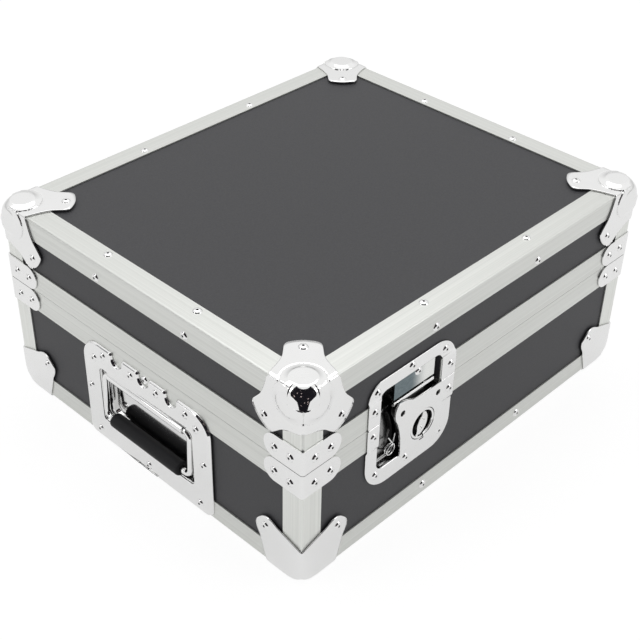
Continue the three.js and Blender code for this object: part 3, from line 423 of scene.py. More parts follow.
def rivets(name, body, spots, radius=4.2, height=1.6):
    """Blind rivets: domed heads with a hollow in the middle, and in it the broken end of the pulled
    pin, near black as painted shade in the hollow."""
    turned_profile(name, body, spots, RIVET_HEAD * (radius, height), steel)
    turned_profile(f"{name}_pins", body, spots, RIVET_PIN * (radius, height), painted_shade_black)


def face_spot(side, along, depth, up):
    """A rivet's place and direction on a face: from there to the point 1 mm outwards."""
    ends = on_face(side, np.array(((along, depth, up), (along, depth - 1, up))))
    return ends[0], (ends[1] - ends[0]) * 1000


# Two rivets to a length, at equal distances from its middle, and as many on top and below. Those
# below are lower, so that the case stands on its corner plates; the handle covers the left pair.
EDGE_RIVETS = {"front": 70.0, "back": 70.0, "left": 57.7, "right": 57.7}
LID_EDGE_UP = HEIGHT - 16.7
BASE_EDGE_UP = 11.2
EDGE_IN = 15.4
lid_spots = []
base_spots = []
under_spots = []
for side, half_pitch in EDGE_RIVETS.items():
    for along in (-half_pitch, half_pitch):
        lid_spots.append(face_spot(side, along, 0, LID_EDGE_UP))
        lid_spots.append((on_face(side, np.array((along, EDGE_IN, HEIGHT))), (0, 0, 1)))
        under_spots.append((on_face(side, np.array((along, EDGE_IN, 0))), (0, 0, -1)))
        if side != "left":
            base_spots.append(face_spot(side, along, 0, BASE_EDGE_UP))
rivets("lid_edging_rivets", "lid", lid_spots)
rivets("base_edging_rivets", "base", base_spots)
rivets("underside_rivets", "base", under_spots, height=1.3)


# Foam lining: charcoal polyurethane foam, 10 mm, glued into each half as sheets. Its cut face
# is open-celled, and its top edges are slightly rounded.
def foam():
    """Two near blacks mixed by the distance to the nearest cell's middle, which is also the
    relief."""
    finish = Finish(bpy.data.materials.new("foam"))
    cells = finish.node("ShaderNodeTexVoronoi", inputs={
        "Vector": finish.node("ShaderNodeTexCoord", output="Object"), "Scale": 1100.0,
    })
    return finish.surface("ShaderNodeBsdfPrincipled", {
        "Base Color": finish.mix(cells, (0.012, 0.012, 0.013, 1), (0.040, 0.040, 0.043, 1)),
        "Roughness": 0.95,
        "Normal": finish.bump(0.6, cells, distance=0.0005),
    })


def rounded_rectangle(left, right, bottom, top, radii, arc=12, side=20):
    """Points (n, 2) round a rectangle with four corner radii, anticlockwise from the bottom left:
    a quarter circle at each corner, then even steps to the next; the same counts give the same
    point numbers, whatever the sizes."""
    corners = (
        (left, bottom, 1, 1), (right, bottom, -1, 1), (right, top, -1, -1), (left, top, 1, -1),
    )
    rings = []
    for number, ((x, y, sx, sy), radius) in enumerate(zip(corners, radii)):
        angle = pi + number * pi / 2 + np.linspace(0, pi / 2, arc)
        centre = (x + sx * radius, y + sy * radius)
        rings.append(np.stack(
            (centre[0] + radius * np.cos(angle), centre[1] + radius * np.sin(angle)), -1,
        ))
    points = []
    for number, ring in enumerate(rings):
        follow = rings[(number + 1) % 4][0]
        share = np.linspace(0, 1, side + 2)[1:-1, None]
        points += [ring, ring[-1] * (1 - share) + follow * share]
    return np.concatenate(points)


WALLS_IN = 12.3
foam_finish = foam()
across = WIDTH / 2 - WALLS_IN
deep = DEPTH / 2 - WALLS_IN
for body, floor, rim, way in (("base", WALLS_IN, 124.0, 1), ("lid", HEIGHT - WALLS_IN, 126.0, -1)):
    # Up the outside, over the rounded rim, down the inside and in at the floor: (inset, height).
    levels = (
        (0, floor), (0, rim - way * 1.5), (0.45, rim - way * 0.45), (1.5, rim), (8.5, rim),
        (9.55, rim - way * 0.45), (10, rim - way * 1.5), (10, floor + way * 12),
        (11.5, floor + way * 10),
    )
    rows = []
    for inset, up in levels:
        outline = rounded_rectangle(
            inset - across, across - inset, inset - deep, deep - inset, [0.6] * 4, 5, 8,
        )
        rows.append(np.concatenate((outline, np.full((len(outline), 1), up)), -1))
    poles = [np.array([(0, 0, up)] * len(rows[0])) for up in (floor, floor + way * 10)]
    skin = np.array([poles[0], *rows, poles[1]])
    lining = make(
        f"{body}_lining", [grid((skin + SHIFT) / 1000, around=True)],
        foam_finish, body, flip=way < 0,
    )
    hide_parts(f"{body}_foam")


# Ball corners: one bright pressing on each upper corner, a dome that flows through three flat
# facets and three dished collars into three legs. Each leg has one rivet near its tip.

# In mm: a corner's sheet stands SHEET_FACE out from the edging, and the sphere's centre lies
# BALL_CENTRE in from each of its faces.
SHEET_FACE = 1.5
CORNER_WALL = 1.2
LEDGE_HALF = 2e-4
BALL_CENTRE = 13.4
BALL_RADIUS = 20.5
BALL_FACETS = BALL_CENTRE + 4.0
BALL_SINKS = radians(48)
COLLAR_RADIUS = 18.7
COLLAR_STEP = 0.7
HOLLOW_RADIUS = 18.0
HOLLOW_WIDTH = 6.6
COLLAR_WITHIN = 0.985
GROOVE_RADIUS = 18.9
GROOVE_WIDTH = 0.45
GROOVE_DEPTH = 0.5
FARTHEST = 40.0
HALVINGS = 26


def leg_outline(reach, shares, skirt_run, count):
    """Points (count, 2) along a leg's border from one fold to the other: half of it is three
    bends through its points, the other half is its mirror image about the diagonal."""
    skirt, waist, neck, shoulder, corner, side, bow, tip = [
        np.array(pair) * reach for pair in shares
    ]
    share = np.linspace(0, 1, 24)[:, None]

    def bend(start, control, end):
        return start * (1 - share) ** 2 + control * 2 * share * (1 - share) + end * share ** 2

    half = np.concatenate((
        np.array(((skirt[0], -skirt_run),)), bend(skirt, waist, neck),
        bend(shoulder, corner, side), bend(side, bow, tip)[1:],
    ))
    line = np.concatenate((half, half[-2::-1, ::-1]))
    run = np.concatenate(((0,), np.cumsum(np.linalg.norm(np.diff(line, axis=0), axis=1))))
    at = np.linspace(0, run[-1], count)
    return np.stack((np.interp(at, run, line[:, 0]), np.interp(at, run, line[:, 1])), -1)


def corner_shell(outline, centre, reach_along, rows, ledge=False):
    """A shell that is star-shaped about a point: rays sweep from the corner's diagonal out to the
    legs' border, and reach_along gives how far the surface lies along each ray. With a ledge, two
    rows lie just inside and outside the three planes through the centre, where the reach jumps."""
    border = []
    for normal in range(3):
        face = np.full((len(outline), 3), -SHEET_FACE)
        face[:, (normal + 1) % 3] = outline[:, 0]
        face[:, (normal + 2) % 3] = outline[:, 1]
        border.append(face[:-1])
    rim = np.concatenate(border) - centre
    rim /= np.linalg.norm(rim, axis=1, keepdims=True)
    diagonal = np.full(3, -1 / sqrt(3))
    angle = np.arccos(rim @ diagonal)[None, :, None]
    share = np.broadcast_to(np.linspace(0, 1, rows)[:, None, None], (rows, len(rim), 1))
    if ledge:
        across = sqrt(3) * rim.max(-1)[None, :, None]
        step = np.arctan2(np.sin(angle), across + np.cos(angle)) / angle
        inside = np.linspace(0, 1, rows * 2 // 5)[:, None, None] * (step - LEDGE_HALF)
        outward = np.linspace(1, 0, rows - len(inside))[:, None, None]
        outside = 1 - outward * (1 - step - LEDGE_HALF)
        share = np.concatenate((inside, outside))
    rays = np.sin((1 - share) * angle) * diagonal + np.sin(share * angle) * rim
    rays /= np.sin(angle)
    rays[0] = diagonal
    return centre + rays * reach_along(rays)[..., None]


def blended_max(first, second, width):
    """The greater of two surfaces, with their crossing rounded over a width."""
    near = np.clip(width - np.abs(first - second), 0, None)
    return np.maximum(first, second) + near ** 2 / (4 * width)


def ball_reach(rays):
    """Distance along each ray: the greatest of a rounded block, a sphere and three collars that
    fall in a hollow curve from the facet to the plate, with a groove round each collar. At the tip
    it is the sphere alone, sunk a little toward both sides; facets cut all of it off. A collar's
    distance is found by halving: its height over the plate is compared with the ray's."""
    out = np.clip(-rays, 1e-6, None)
    seat = BALL_CENTRE + SHEET_FACE
    tilt = np.clip(np.arccos(np.clip(out[..., :2], 0, 1)) / BALL_SINKS, 0, 1)
    sunk = (BALL_RADIUS - BALL_FACETS) * (np.cos(tilt * pi / 2) ** 2).sum(-1)
    sphere = BALL_RADIUS - sunk
    reach = blended_max(seat / (out ** 10).sum(-1) ** 0.1, sphere, 0.5)
    for axis in range(3):
        rise = out[..., axis]
        spread = np.sqrt(np.clip(1 - rise ** 2, 0, 1))
        low = np.zeros_like(rise)
        high = np.full_like(rise, FARTHEST)
        for _ in range(HALVINGS):
            middle = (low + high) / 2
            radius = middle * spread
            step = np.clip((COLLAR_RADIUS - radius) / COLLAR_STEP, 0, 1)
            fall = np.clip((HOLLOW_RADIUS - radius) / HOLLOW_WIDTH, 0, 1)
            height = seat + COLLAR_STEP * step * step * (3 - 2 * step)
            height = height + (BALL_FACETS - seat - COLLAR_STEP) * fall ** 2
            above = middle * rise > height
            high = np.where(above, middle, high)
            low = np.where(above, low, middle)
        others = np.max(np.delete(out, axis, -1), axis=-1)
        collar = np.minimum(low, COLLAR_WITHIN * seat / np.clip(others, 1e-6, None))
        reach = blended_max(reach, np.where(low * spread < COLLAR_RADIUS, collar, 0), 0.3)
    radius = reach * np.sqrt(1 - out.max(-1) ** 2)
    reach = reach - GROOVE_DEPTH * np.exp(-((radius - GROOVE_RADIUS) / GROOVE_WIDTH) ** 2)
    reach = np.where(rays.max(-1) < 0, sphere, reach)
    return -blended_max(-reach, -BALL_FACETS / out.max(-1), 0.5)


ball_border = leg_outline(54.0, (
    (0.704, 0), (0.768, 0.311), (0.859, 0.439), (0.985, 0.585), (1.035, 0.66), (0.985, 0.735),
    (0.935, 0.825), (0.88, 0.88),
), SHEET_FACE, 84)
ball_skin = corner_shell(ball_border, BALL_CENTRE, ball_reach, 120, ledge=True)

LEG_IN = 41.5
leg_spots, leg_ways = [
    np.array(((LEG_IN, LEG_IN, -out), (-out, LEG_IN, LEG_IN), (LEG_IN, -out, LEG_IN)))
    for out in (SHEET_FACE, SHEET_FACE + 1)
]


def leg_rivets(corner, from_top):
    """The places and directions of the rivets on a corner's legs. A case stands on its lowest
    legs, whose rivets are flush and left out."""
    spots = at_corner(corner, leg_spots, from_top)
    ways = (at_corner(corner, leg_ways, from_top) - spots) * 1000
    return list(zip(spots, ways))[0 if from_top else 1:]


ball_rivets = []
for corner in CORNERS:
    ball = make(
        f"ball_{corner}", [grid(at_corner(corner, ball_skin, True), around=True)],
        bright_steel, "lid", flip=True, wall=CORNER_WALL,
    )
    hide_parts(f"ball_corner_{corner}")
    ball_rivets += leg_rivets(corner, True)
rivets("ball_rivets", "lid", ball_rivets)


# Base corners: flat plated pressings with three legs and a well rounded tip, one rivet a leg.
# They carry the case on the ground.
FOOT_CENTRE = 20.0
FOLD_POWER = 14
TIP_POWER_LESS = 9
TIP_SHARE = 0.9


def foot_reach(rays):
    """Distance along each ray to a rounded block: the root of the sum of powers of its three
    shares. The power falls, and the rounding grows, from the folds to the tip."""
    out = np.clip(-rays, 1e-6, None)
    out_max = out.max(-1)
    tip = np.clip(out.min(-1) / out_max / TIP_SHARE, 0, 1)
    power = FOLD_POWER - TIP_POWER_LESS * tip * tip * (3 - 2 * tip)
    block = ((out / out_max[..., None]) ** power[..., None]).sum(-1) ** (1 / power) * out_max
    return (FOOT_CENTRE + SHEET_FACE) / block


foot_border = leg_outline(53.0, (
    (0.745, 0), (0.849, 0.321), (0.906, 0.509), (0.966, 0.62), (1.01, 0.72), (0.985, 0.79),
    (0.955, 0.86), (0.9, 0.9),
), SHEET_FACE, 72)
foot_skin = corner_shell(foot_border, FOOT_CENTRE, foot_reach, 60)
foot_rivets = []
for corner in CORNERS:
    foot = make(
        f"foot_{corner}", [grid(at_corner(corner, foot_skin, False), around=True)],
        steel, "base", wall=CORNER_WALL,
    )
    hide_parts(f"base_corner_{corner}")
    foot_rivets += leg_rivets(corner, False)
rivets("foot_rivets", "base", foot_rivets)


# Braces: plated L-shaped straps with round ends, folded over the valance at each corner, one on
# the lid and one on the base. Two rivets hold each leg.
BRACE_REACH = 42.0
BRACE_HALF = 12.2
BRACE_FOLD = 3.0
BRACE_RIVETS_ALONG = (12.6, 30.4)


def brace_skin(bottom):
    """A strip folded round the corner: its run is straight, a quarter turn and straight, and its
    half height follows a circle at both ends."""
    half, fold = BRACE_HALF, BRACE_FOLD
    flat = BRACE_REACH - fold + SHEET_FACE
    arc = fold * pi / 2
    length = 2 * flat + arc
    share = np.linspace(0, 1, 120)
    run = np.concatenate((
        half * (1 - np.cos(np.linspace(0, pi / 2, 30)))[:-1],
        half + share * (length - 2 * half),
        length - half * (1 - np.cos(np.linspace(pi / 2, 0, 30)))[1:],
    ))
    end = np.clip(half - np.minimum(run, length - run), 0, half)
    tall = np.sqrt(np.clip(half ** 2 - end ** 2, 0, None))
    turn = np.clip((run - flat) / fold, 0, pi / 2)
    first = np.clip(flat - run, 0, None)
    last = np.clip(run - flat - arc, 0, None)
    u = fold - SHEET_FACE + first - fold * np.sin(turn)
    v = fold - SHEET_FACE + last - fold * np.cos(turn)
    across = np.linspace(-1, 1, 15)
    up = bottom + half + tall[:, None] * across[None, :]
    return np.stack(np.broadcast_arrays(u[:, None], v[:, None], up), -1)


for body, bottom, rivet_ups in (("lid", 125.3, (137.0, 136.7)), ("base", 100.3, (110.4, 111.5))):
    skin = brace_skin(bottom)
    spots = []
    for corner in CORNERS:
        brace = make(
            f"{body}_strap_{corner}", [grid(at_corner(corner, skin, False))],
            steel, body, wall=CORNER_WALL, edge=0.35,
        )
        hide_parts(f"{body}_brace_{corner}")
        for run, up in zip(BRACE_RIVETS_ALONG, rivet_ups):
            for place, way in (
                ((run, -SHEET_FACE, up), (0, -1, 0)), ((-SHEET_FACE, run, up), (-1, 0, 0)),
            ):
                ends = at_corner(corner, np.array((place, np.add(place, way))), False)
                spots.append((ends[0], (ends[1] - ends[0]) * 1000))
    rivets(f"{body}_strap_rivets", body, spots)


# Handle dish: a pressed steel dish with a raised, bevelled bezel, three notches over its top
# edge for the valance's rivets, and a barrel rolled round the bail's ends.
def inset_line(line, distance):
    """A closed line moved sideways to its left by a distance, along the normals at its points."""
    ahead = np.roll(line, -1, 0) - line
    behind = line - np.roll(line, 1, 0)
    ahead = ahead / np.linalg.norm(ahead, axis=1, keepdims=True)
    behind = behind / np.linalg.norm(behind, axis=1, keepdims=True)
    way = ahead + behind
    way /= np.linalg.norm(way, axis=1, keepdims=True)
    return line + distance * np.stack((-way[:, 1], way[:, 0]), -1)


def even_line(line, spacing):
    """A closed line given points at an even spacing."""
    closed = np.concatenate((line, line[:1]))
    run = np.concatenate(((0,), np.cumsum(np.linalg.norm(np.diff(closed, axis=0), axis=1))))
    at = np.linspace(0, run[-1], int(run[-1] / spacing), endpoint=False)
    return np.stack((np.interp(at, run, closed[:, 0]), np.interp(at, run, closed[:, 1])), -1)


def arc_points(x, y, radius, start, end, count=12):
    """Points on a circle's arc between two angles in degrees, even in angle."""
    angle = np.radians(np.linspace(start, end, count))
    return np.stack((x + radius * np.cos(angle), y + radius * np.sin(angle)), -1)


def at_depth(line, depth):
    """A flat line set at a depth into the face."""
    return np.stack((line[:, 0], np.broadcast_to(depth, len(line)), line[:, 1]), -1)


def fill_faces(lines, turn=1):
    """Triangles that fill the flat region within the first line and without the others, turned
    anticlockwise, or clockwise where turn is -1; the points are numbered line after line."""
    points = np.concatenate(lines)
    faces = np.array(tessellate_polygon(
        [[Vector((*point, 0)) for point in line] for line in lines],
    ))
    a, b, c = points[faces[:, 0]], points[faces[:, 1]], points[faces[:, 2]]
    area = (b[:, 0] - a[:, 0]) * (c[:, 1] - a[:, 1]) - (b[:, 1] - a[:, 1]) * (c[:, 0] - a[:, 0])
    wrong = area * turn < 0
    faces[wrong] = faces[wrong][:, ::-1]
    return faces


# The bezel's depth, which is negative outside the edging, and the dish's outlines.
BEZEL = -2.8
DISH_WALL = 1.1
HANDLE_TOP = 114.2
LINE_STEP = 0.8
rim_pieces = [
    arc_points(-77.5, 10, 9, 180, 270), arc_points(77.5, 10, 9, 270, 360),
    arc_points(64.5, HANDLE_TOP - 22, 22, 0, 90),
]
for notch in (37, 0, -37):
    rim_pieces += [
        arc_points(notch + 10.1, HANDLE_TOP - 3.6, 3.6, 90, 180, 8),
        arc_points(notch, 109, 6.5, 360, 180, 16),
        arc_points(notch - 10.1, HANDLE_TOP - 3.6, 3.6, 0, 90, 8),
    ]
rim_pieces.append(arc_points(-64.5, HANDLE_TOP - 22, 22, 90, 180))
rim_line = even_line(np.concatenate(rim_pieces), LINE_STEP)
window_line = even_line(np.concatenate((
    arc_points(-58.5, 32, 5, 180, 270), arc_points(58.5, 32, 5, 270, 360),
    arc_points(58.5, 83.5, 5, 0, 90), arc_points(53.5, 86, 2.5, 90, 180, 6),
    arc_points(49, 83, 2, 0, -90, 6), arc_points(-49, 83, 2, -90, -180, 6),
    arc_points(-53.5, 86, 2.5, 0, 90, 6), arc_points(-58.5, 83.5, 5, 90, 180),
)), LINE_STEP)

# Profiles of (inset, depth): the skirt inwards from the rim, the lip to the window and the pan
# behind it, which closes on a point of its floor.
skirt = [
    (0, -0.3), (0.45, -1.0), (1.3, -2.2), (1.65, -2.6), (2.1, BEZEL), (2.5, BEZEL), (2.9, BEZEL),
]
lip = [(-1.1, BEZEL), (-0.7, BEZEL), (-0.25, BEZEL + 0.12), (-0.05, BEZEL + 0.35), (0, BEZEL + 0.7)]
skirt_rows = np.array([at_depth(inset_line(rim_line, inset), depth) for inset, depth in skirt])
lip_rows = np.array([at_depth(inset_line(window_line, inset), depth) for inset, depth in lip])
plate = fill_faces([skirt_rows[-1][:, [0, 2]], lip_rows[0][:, [0, 2]]])
dish = make("handle_pressing", [
    grid(on_face("left", skirt_rows), around=True),
    (on_face("left", np.concatenate((skirt_rows[-1], lip_rows[0]))), plate),
    grid(on_face("left", lip_rows), around=True),
], steel, "base", wall=DISH_WALL)
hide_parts("handle_dish")

pan_profile = [(0, -1.6), (0.4, 0), (2.4, 5.2), (2.75, 6.2), (3.4, 6.8), (4.4, 7.0), (5.5, 7.0)]
pan_rows = [
    at_depth(rounded_rectangle(
        inset - 63.5, 63.5 - inset, 27 + inset, 88.5 - inset, [6 - 0.2 * inset] * 4,
    ), depth)
    for inset, depth in pan_profile
]
pan_rows = np.array(pan_rows + [np.tile((0.0, 7.0, 57.0), (len(pan_rows[0]), 1))])
# The pan is a little darker than the pressing round it, 0.8 against 0.89: painted shade in the
# recess. It is also smoother.
pan = make(
    "handle_pan", [grid(on_face("left", pan_rows), around=True)],
    plated("pan_steel_painted_shade", 0.8, 0.04, relief=0.004), "base", wall=DISH_WALL,
)
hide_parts("handle_dish")


def turned(profile, axis, sides=48):
    """Points (row, side, 3) of a profile of radius and run, turned about the axis that it runs
    along: 0 along the face, 1 into it."""
    turn = np.linspace(0, 2 * pi, sides, endpoint=False)
    radius, run = np.array(profile, float).T[..., None]
    places = [radius * np.cos(turn), radius * np.sin(turn)]
    places.insert(axis, np.broadcast_to(run, (len(run), sides)))
    return np.stack(places, -1)


# Depth and height of the bail's axis, which is the barrel's.
PIVOT = (0.2, 83.2)
barrel = turned([
    (3.3, -51), (4.1, -51), (4.4, -50.9), (4.5, -50.6), (4.5, 50.6), (4.4, 50.9), (4.1, 51),
    (3.3, 51), (3.3, -51),
], 0)
make(
    "handle_barrel", [grid(on_face("left", barrel + (0, *PIVOT)), around=True)],
    steel, "base",
)

rivets("handle_rivets", "base", [face_spot("left", along, BEZEL, up) for along, up in (
    (-17.3, 104.8), (17.3, 104.8), (-56, 104.8), (56, 104.8), (-69.5, 96.5), (69.5, 96.5),
    (-77.5, 60), (77.5, 60), (-70.5, 11), (70.5, 11), (0, 10),
)])
rivets("valance_rivets", "base", [face_spot(side, 0, 0, 108.5) for side in ("left", "right")])


# Bail: a 6 mm steel rod bent into a flat loop whose turned-in ends run in the barrel. The grip
# is a black rubber sleeve on its crossbar.
def swept(path, radius, sides=20):
    """A round bar along a path: rings square to the path, each one's first direction that of the
    ring before it less what lies along the path, so that nothing twists; both ends close."""
    along = np.gradient(path, axis=0)
    along /= np.linalg.norm(along, axis=1, keepdims=True)
    first = np.cross(along[0], (0.13, 0.97, 0.21))
    across = [first / np.linalg.norm(first)]
    for way in along[1:]:
        step = across[-1] - way * (across[-1] @ way)
        across.append(step / np.linalg.norm(step))
    across = np.array(across)
    other = np.cross(along, across)
    turn = np.linspace(0, 2 * pi, sides, endpoint=False)
    radius = np.broadcast_to(radius, len(path))[:, None, None]
    ring = np.cos(turn)[:, None] * across[:, None] + np.sin(turn)[:, None] * other[:, None]
    ends = [np.repeat(end[None, None], sides, 1) for end in (path[0], path[-1])]
    return np.concatenate((ends[0], path[:, None] + ring * radius, ends[1]))


# Half of the rod is laid out flat from the barrel, and hung toward the grip's depth and height.
GRIP = (-2.0, 35.5)
ROD_RADIUS = 3.0
drop = sqrt((PIVOT[1] - GRIP[1]) ** 2 + (PIVOT[0] - GRIP[0]) ** 2)
hang = np.array((GRIP[0] - PIVOT[0], GRIP[1] - PIVOT[1])) / drop
half = np.concatenate((
    np.array(((32, 0), (44, 0))), arc_points(51.2, -7, 7, 90, 0),
    np.stack((np.full(12, 58.2), np.linspace(-9, 9 - drop, 12)), -1),
    arc_points(51.2, 7 - drop, 7, 0, -90),
    np.stack((np.linspace(48, 0, 12), np.full(12, -drop)), -1),
))
line = np.concatenate((half, half[-2::-1] * (-1, 1)))
path = np.stack((
    line[:, 0], PIVOT[0] - line[:, 1] * hang[0], PIVOT[1] - line[:, 1] * hang[1],
), -1)
rod = swept(path, ROD_RADIUS)
bail = make("bail", [grid(on_face("left", rod), around=True)], bright_steel, "bail")
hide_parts("handle_bail")


def rubber():
    """Two near blacks, the roughness and the relief, all mixed by one fine grain."""
    finish = Finish(bpy.data.materials.new("rubber"))
    grain = finish.noise(1500)
    return finish.surface("ShaderNodeBsdfPrincipled", {
        "Base Color": finish.mix(grain, (0.008, 0.008, 0.009, 1), (0.020, 0.020, 0.022, 1)),
        "Roughness": 0.5 + grain * 0.1,
        "Specular IOR Level": 0.2,
        "Normal": finish.bump(0.15, grain),
    })


grip_skin = turned([
    (3.3, -46.5), (6.0, -46.5), (6.8, -46.2), (7.08, -45.4), (7.13, -44), (7.13, -15),
    (7.13, 15), (7.13, 44), (7.08, 45.4), (6.8, 46.2), (6.0, 46.5), (3.3, 46.5), (3.3, -46.5),
], 0)
grip = make(
    "grip", [grid(on_face("left", grip_skin + (0, *GRIP)), around=True)],
    rubber(), "bail",
)
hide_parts("handle_grip")


# Latches: a plated dish let into the wall across the split, one half on the lid and one on the
# base, with a cover plate, a turn knob with a folding wing, a hook, a keeper and a wire spring.
LATCH_ALONG = -95.5
LATCH_UP = 110.0
SPLIT = 15.0
SPLIT_HALF_GAP = 0.15
LIP_ROWS = 13


def on_latch(side, points):
    """Points (across, inwards, up) from the middle of a latch dish."""
    return on_face(side, points + np.array((LATCH_ALONG, 0, LATCH_UP)))


def latch_parts(side, parts):
    """Parts with their points set on a latch."""
    return [(on_latch(side, points), faces) for points, faces in parts]


def bezel_depth(up):
    """The bezel lies on the panels and steps out over the valance, smoothly on both sides."""
    share = np.clip((np.abs(up - SPLIT) - 23.8) / 4, 0, 1)
    return -SHEET_FACE + SHEET_FACE * share * share * (3 - 2 * share)


def latch_rows():
    """Rings from the dish's rim across the bezel, over its lip and down the pan to its floor:
    shares of the way from the rim to the hole, then insets from the hole."""
    rim = rounded_rectangle(-55, 55, -58.25, 58.25, (28, 24, 25, 17), 24, 48)
    hole = rounded_rectangle(-40.5, 37.5, -40, 45, [8] * 4, 24, 48)
    rows = []
    for share in (0, 0.02, 0.05, 0.2, 0.4, 0.6, 0.8, 0.9, 0.96, 1):
        line = rim * (1 - share) + inset_line(hole, -1.0) * share
        rows.append(at_depth(line, bezel_depth(line[:, 1])))
    for inset, fall in ((-0.45, 0.12), (-0.12, 0.45), (0, 1.0)):
        line = inset_line(hole, inset)
        rows.append(at_depth(line, bezel_depth(line[:, 1]) + fall))
    for inset, depth in ((0.5, 7.4), (0.75, 8.4), (1.4, 9.0), (2.4, 9.2), (4, 9.2)):
        rows.append(at_depth(inset_line(hole, inset), depth))
    rows.append(np.tile((0.0, 9.2, 2.0), (len(hole), 1)))
    return np.array(rows)


def extruded(line, holes, near, far, round_over):
    """A flat plate with an outline and holes: its rounded edge and its sides, which point
    outwards, then its face and its back, which point inwards."""
    levels = [
        (round_over, near), (0.3 * round_over, near + 0.3 * round_over),
        (0, near + round_over), (0, far),
    ]
    lines = [line] + [hole[::-1] for hole in holes]
    rings = [
        np.array([at_depth(inset_line(each, inset), depth) for inset, depth in levels])
        for each in lines
    ]
    parts = []
    for ring in rings:
        points, faces = grid(ring, around=True)
        parts.append((points, faces[:, ::-1]))
    for level, turn in ((0, -1), (-1, 1)):
        faces = fill_faces([ring[level][:, [0, 2]] for ring in rings], turn)
        parts.append((np.concatenate([ring[level] for ring in rings]), faces))
    return parts


def circle(x, y, radius, count=40):
    """Points on a whole circle, even in angle."""
    angle = np.linspace(0, 2 * pi, count, endpoint=False)
    return np.stack((x + radius * np.cos(angle), y + radius * np.sin(angle)), -1)


def bent(start, control, end):
    """A bend from start to end that leaves and arrives in line with the control point."""
    share = np.linspace(0, 1, 12)[:, None]
    start, control, end = np.array(start), np.array(control), np.array(end)
    return start * (1 - share) ** 2 + control * 2 * share * (1 - share) + end * share ** 2


def keeper_metal():
    """Steel painted dark teal as shade and dark reflections in the recess, with a painted bright
    reflection toward the case's middle: by a smooth step in the distance from it."""
    finish = Finish(bpy.data.materials.new("keeper_steel"))
    place = finish.node("ShaderNodeTexCoord", output="Object")
    across = finish.node("ShaderNodeSeparateXYZ", inputs={0: place})
    smooth = {"interpolation_type": "SMOOTHSTEP"}
    painted_reflection = finish.ramp(across.sum("ABSOLUTE", across), 0.094, 0.074, smooth)
    streaks = finish.noise(1.0, stretch=(300, 20, 900))
    # Painted shade: dark teal for the recess's shade and dark reflections.
    dark = finish.mix(streaks, (0.07, 0.10, 0.11, 1), (0.22, 0.27, 0.29, 1))
    return finish.surface("ShaderNodeBsdfPrincipled", {
        "Base Color": finish.mix(painted_reflection, dark, (0.85, 0.86, 0.84, 1)),
        "Metallic": 1.0,
        "Roughness": 0.16 + streaks * 0.1,
    })


keeper_steel = keeper_metal()
# The latch pans are darker than their dishes, 0.3 against 0.89: painted shade in the recess.
recess_shaded_steel = plated("recess_shaded_steel", 0.3, 0.14)

# The cover with its holes, and under it the works, a plate a little smaller, near black as painted
# shade behind the cover and through its holes.
KNOB = np.array((16.0, 0, -19.5))
COVER_HOLES = ((-12.0, 8.4), (34.2, 4.6))
COVER_HOLE_RADIUS = 2.9
cover_line = even_line(np.concatenate((
    np.array(((-11.9, -41.0), (41.0, -41.0), (41.0, 14.8), (16.0, 14.8))),
    bent((16.0, 14.8), (4.4, 14.9), (0.4, 16.5))[1:],
    bent((0.4, 16.5), (-8.8, 21.8), (-15.0, 21.6))[1:],
    bent((-15.0, 21.6), (-21.3, 21.4), (-21.3, 9.0))[1:],
    bent((-21.3, 9.0), (-21.1, 4.6), (-18.0, 0.0))[1:],
    bent((-18.0, 0.0), (-14.3, -10.9), (-13.2, -18.9))[1:],
)), 0.7)
cover_holes = [circle(KNOB[0], KNOB[2], 15.9, 72)]
cover_holes += [circle(*place, COVER_HOLE_RADIUS) for place in COVER_HOLES]
cover = extruded(cover_line, cover_holes, -1.6, 0.2, 0.25)
works_hole = circle(KNOB[0], KNOB[2], 16.2, 72)
works = extruded(inset_line(cover_line, 3.5)[::2], [works_hole], 1.5, 7.0, 0.3)

# The knob: a cup of (radius, depth) with a stem, and in it a near-black well, painted shade in the
# cup, about its own line.
KNOB_SIDES = 64
knob_cup = turned([
    (0, 3.5), (12.0, 3.5), (12.7, 3.2), (13.0, 2.5), (13.0, -0.9), (13.2, -1.2), (13.6, -1.3),
    (14.8, -1.3), (15.2, -1.15), (15.4, -0.7), (15.4, 5.0), (4, 5.0), (4, 8.9), (0, 8.9),
], 1, KNOB_SIDES)
knob_well = turned([
    (0, 3.05), (12.2, 3.05), (12.6, 2.5), (12.6, -0.4), (12.9, -0.4), (12.9, 2.6), (12.3, 3.4),
    (0, 3.4),
], 1, KNOB_SIDES)
# The notch across the knob's rim: a thin near-black bar, painted shade in the slot.
notch = swept(KNOB + (
    (-2.7, -1.35, -17.1), (2.2, -1.35, -17.2), (1.6, -1.35, -13.7), (-0.5, -1.35, -11.5),
    (3.2, -1.35, -9.1),
), 0.6, 8)

# The wing: a lens between two arcs, which leans, on a pin across the knob.
LEAN = radians(16.5)
WING_HALF = 12.0
WING_WIDE = 6.2
wing_radius = (WING_HALF ** 2 + WING_WIDE ** 2) / (2 * WING_WIDE)
wing_sweep = np.degrees(np.arcsin(WING_HALF / wing_radius))
wing_line = even_line(np.concatenate((
    arc_points(WING_WIDE - wing_radius, 0, wing_radius, -wing_sweep, wing_sweep, 24),
    arc_points(
        wing_radius - WING_WIDE, 0, wing_radius, 180 - wing_sweep, 180 + wing_sweep, 24,
    )[1:-1],
)), 0.6)
pin_path = np.stack((np.full(12, -3.0), np.full(12, -0.5), np.linspace(-13.9, 13.9, 12)), -1)
wing_parts = extruded(wing_line, [], -1.3, 0.3, 0.35) + [grid(swept(pin_path, 1.2), around=True)]


def leaning(side, points):
    """Points about the knob's own line, turned by the wing's lean and set on a latch."""
    x = points[..., 0] * cos(LEAN) + points[..., 2] * sin(LEAN)
    z = points[..., 2] * cos(LEAN) - points[..., 0] * sin(LEAN)
    return on_latch(side, np.stack((x, points[..., 1], z), -1) + KNOB)


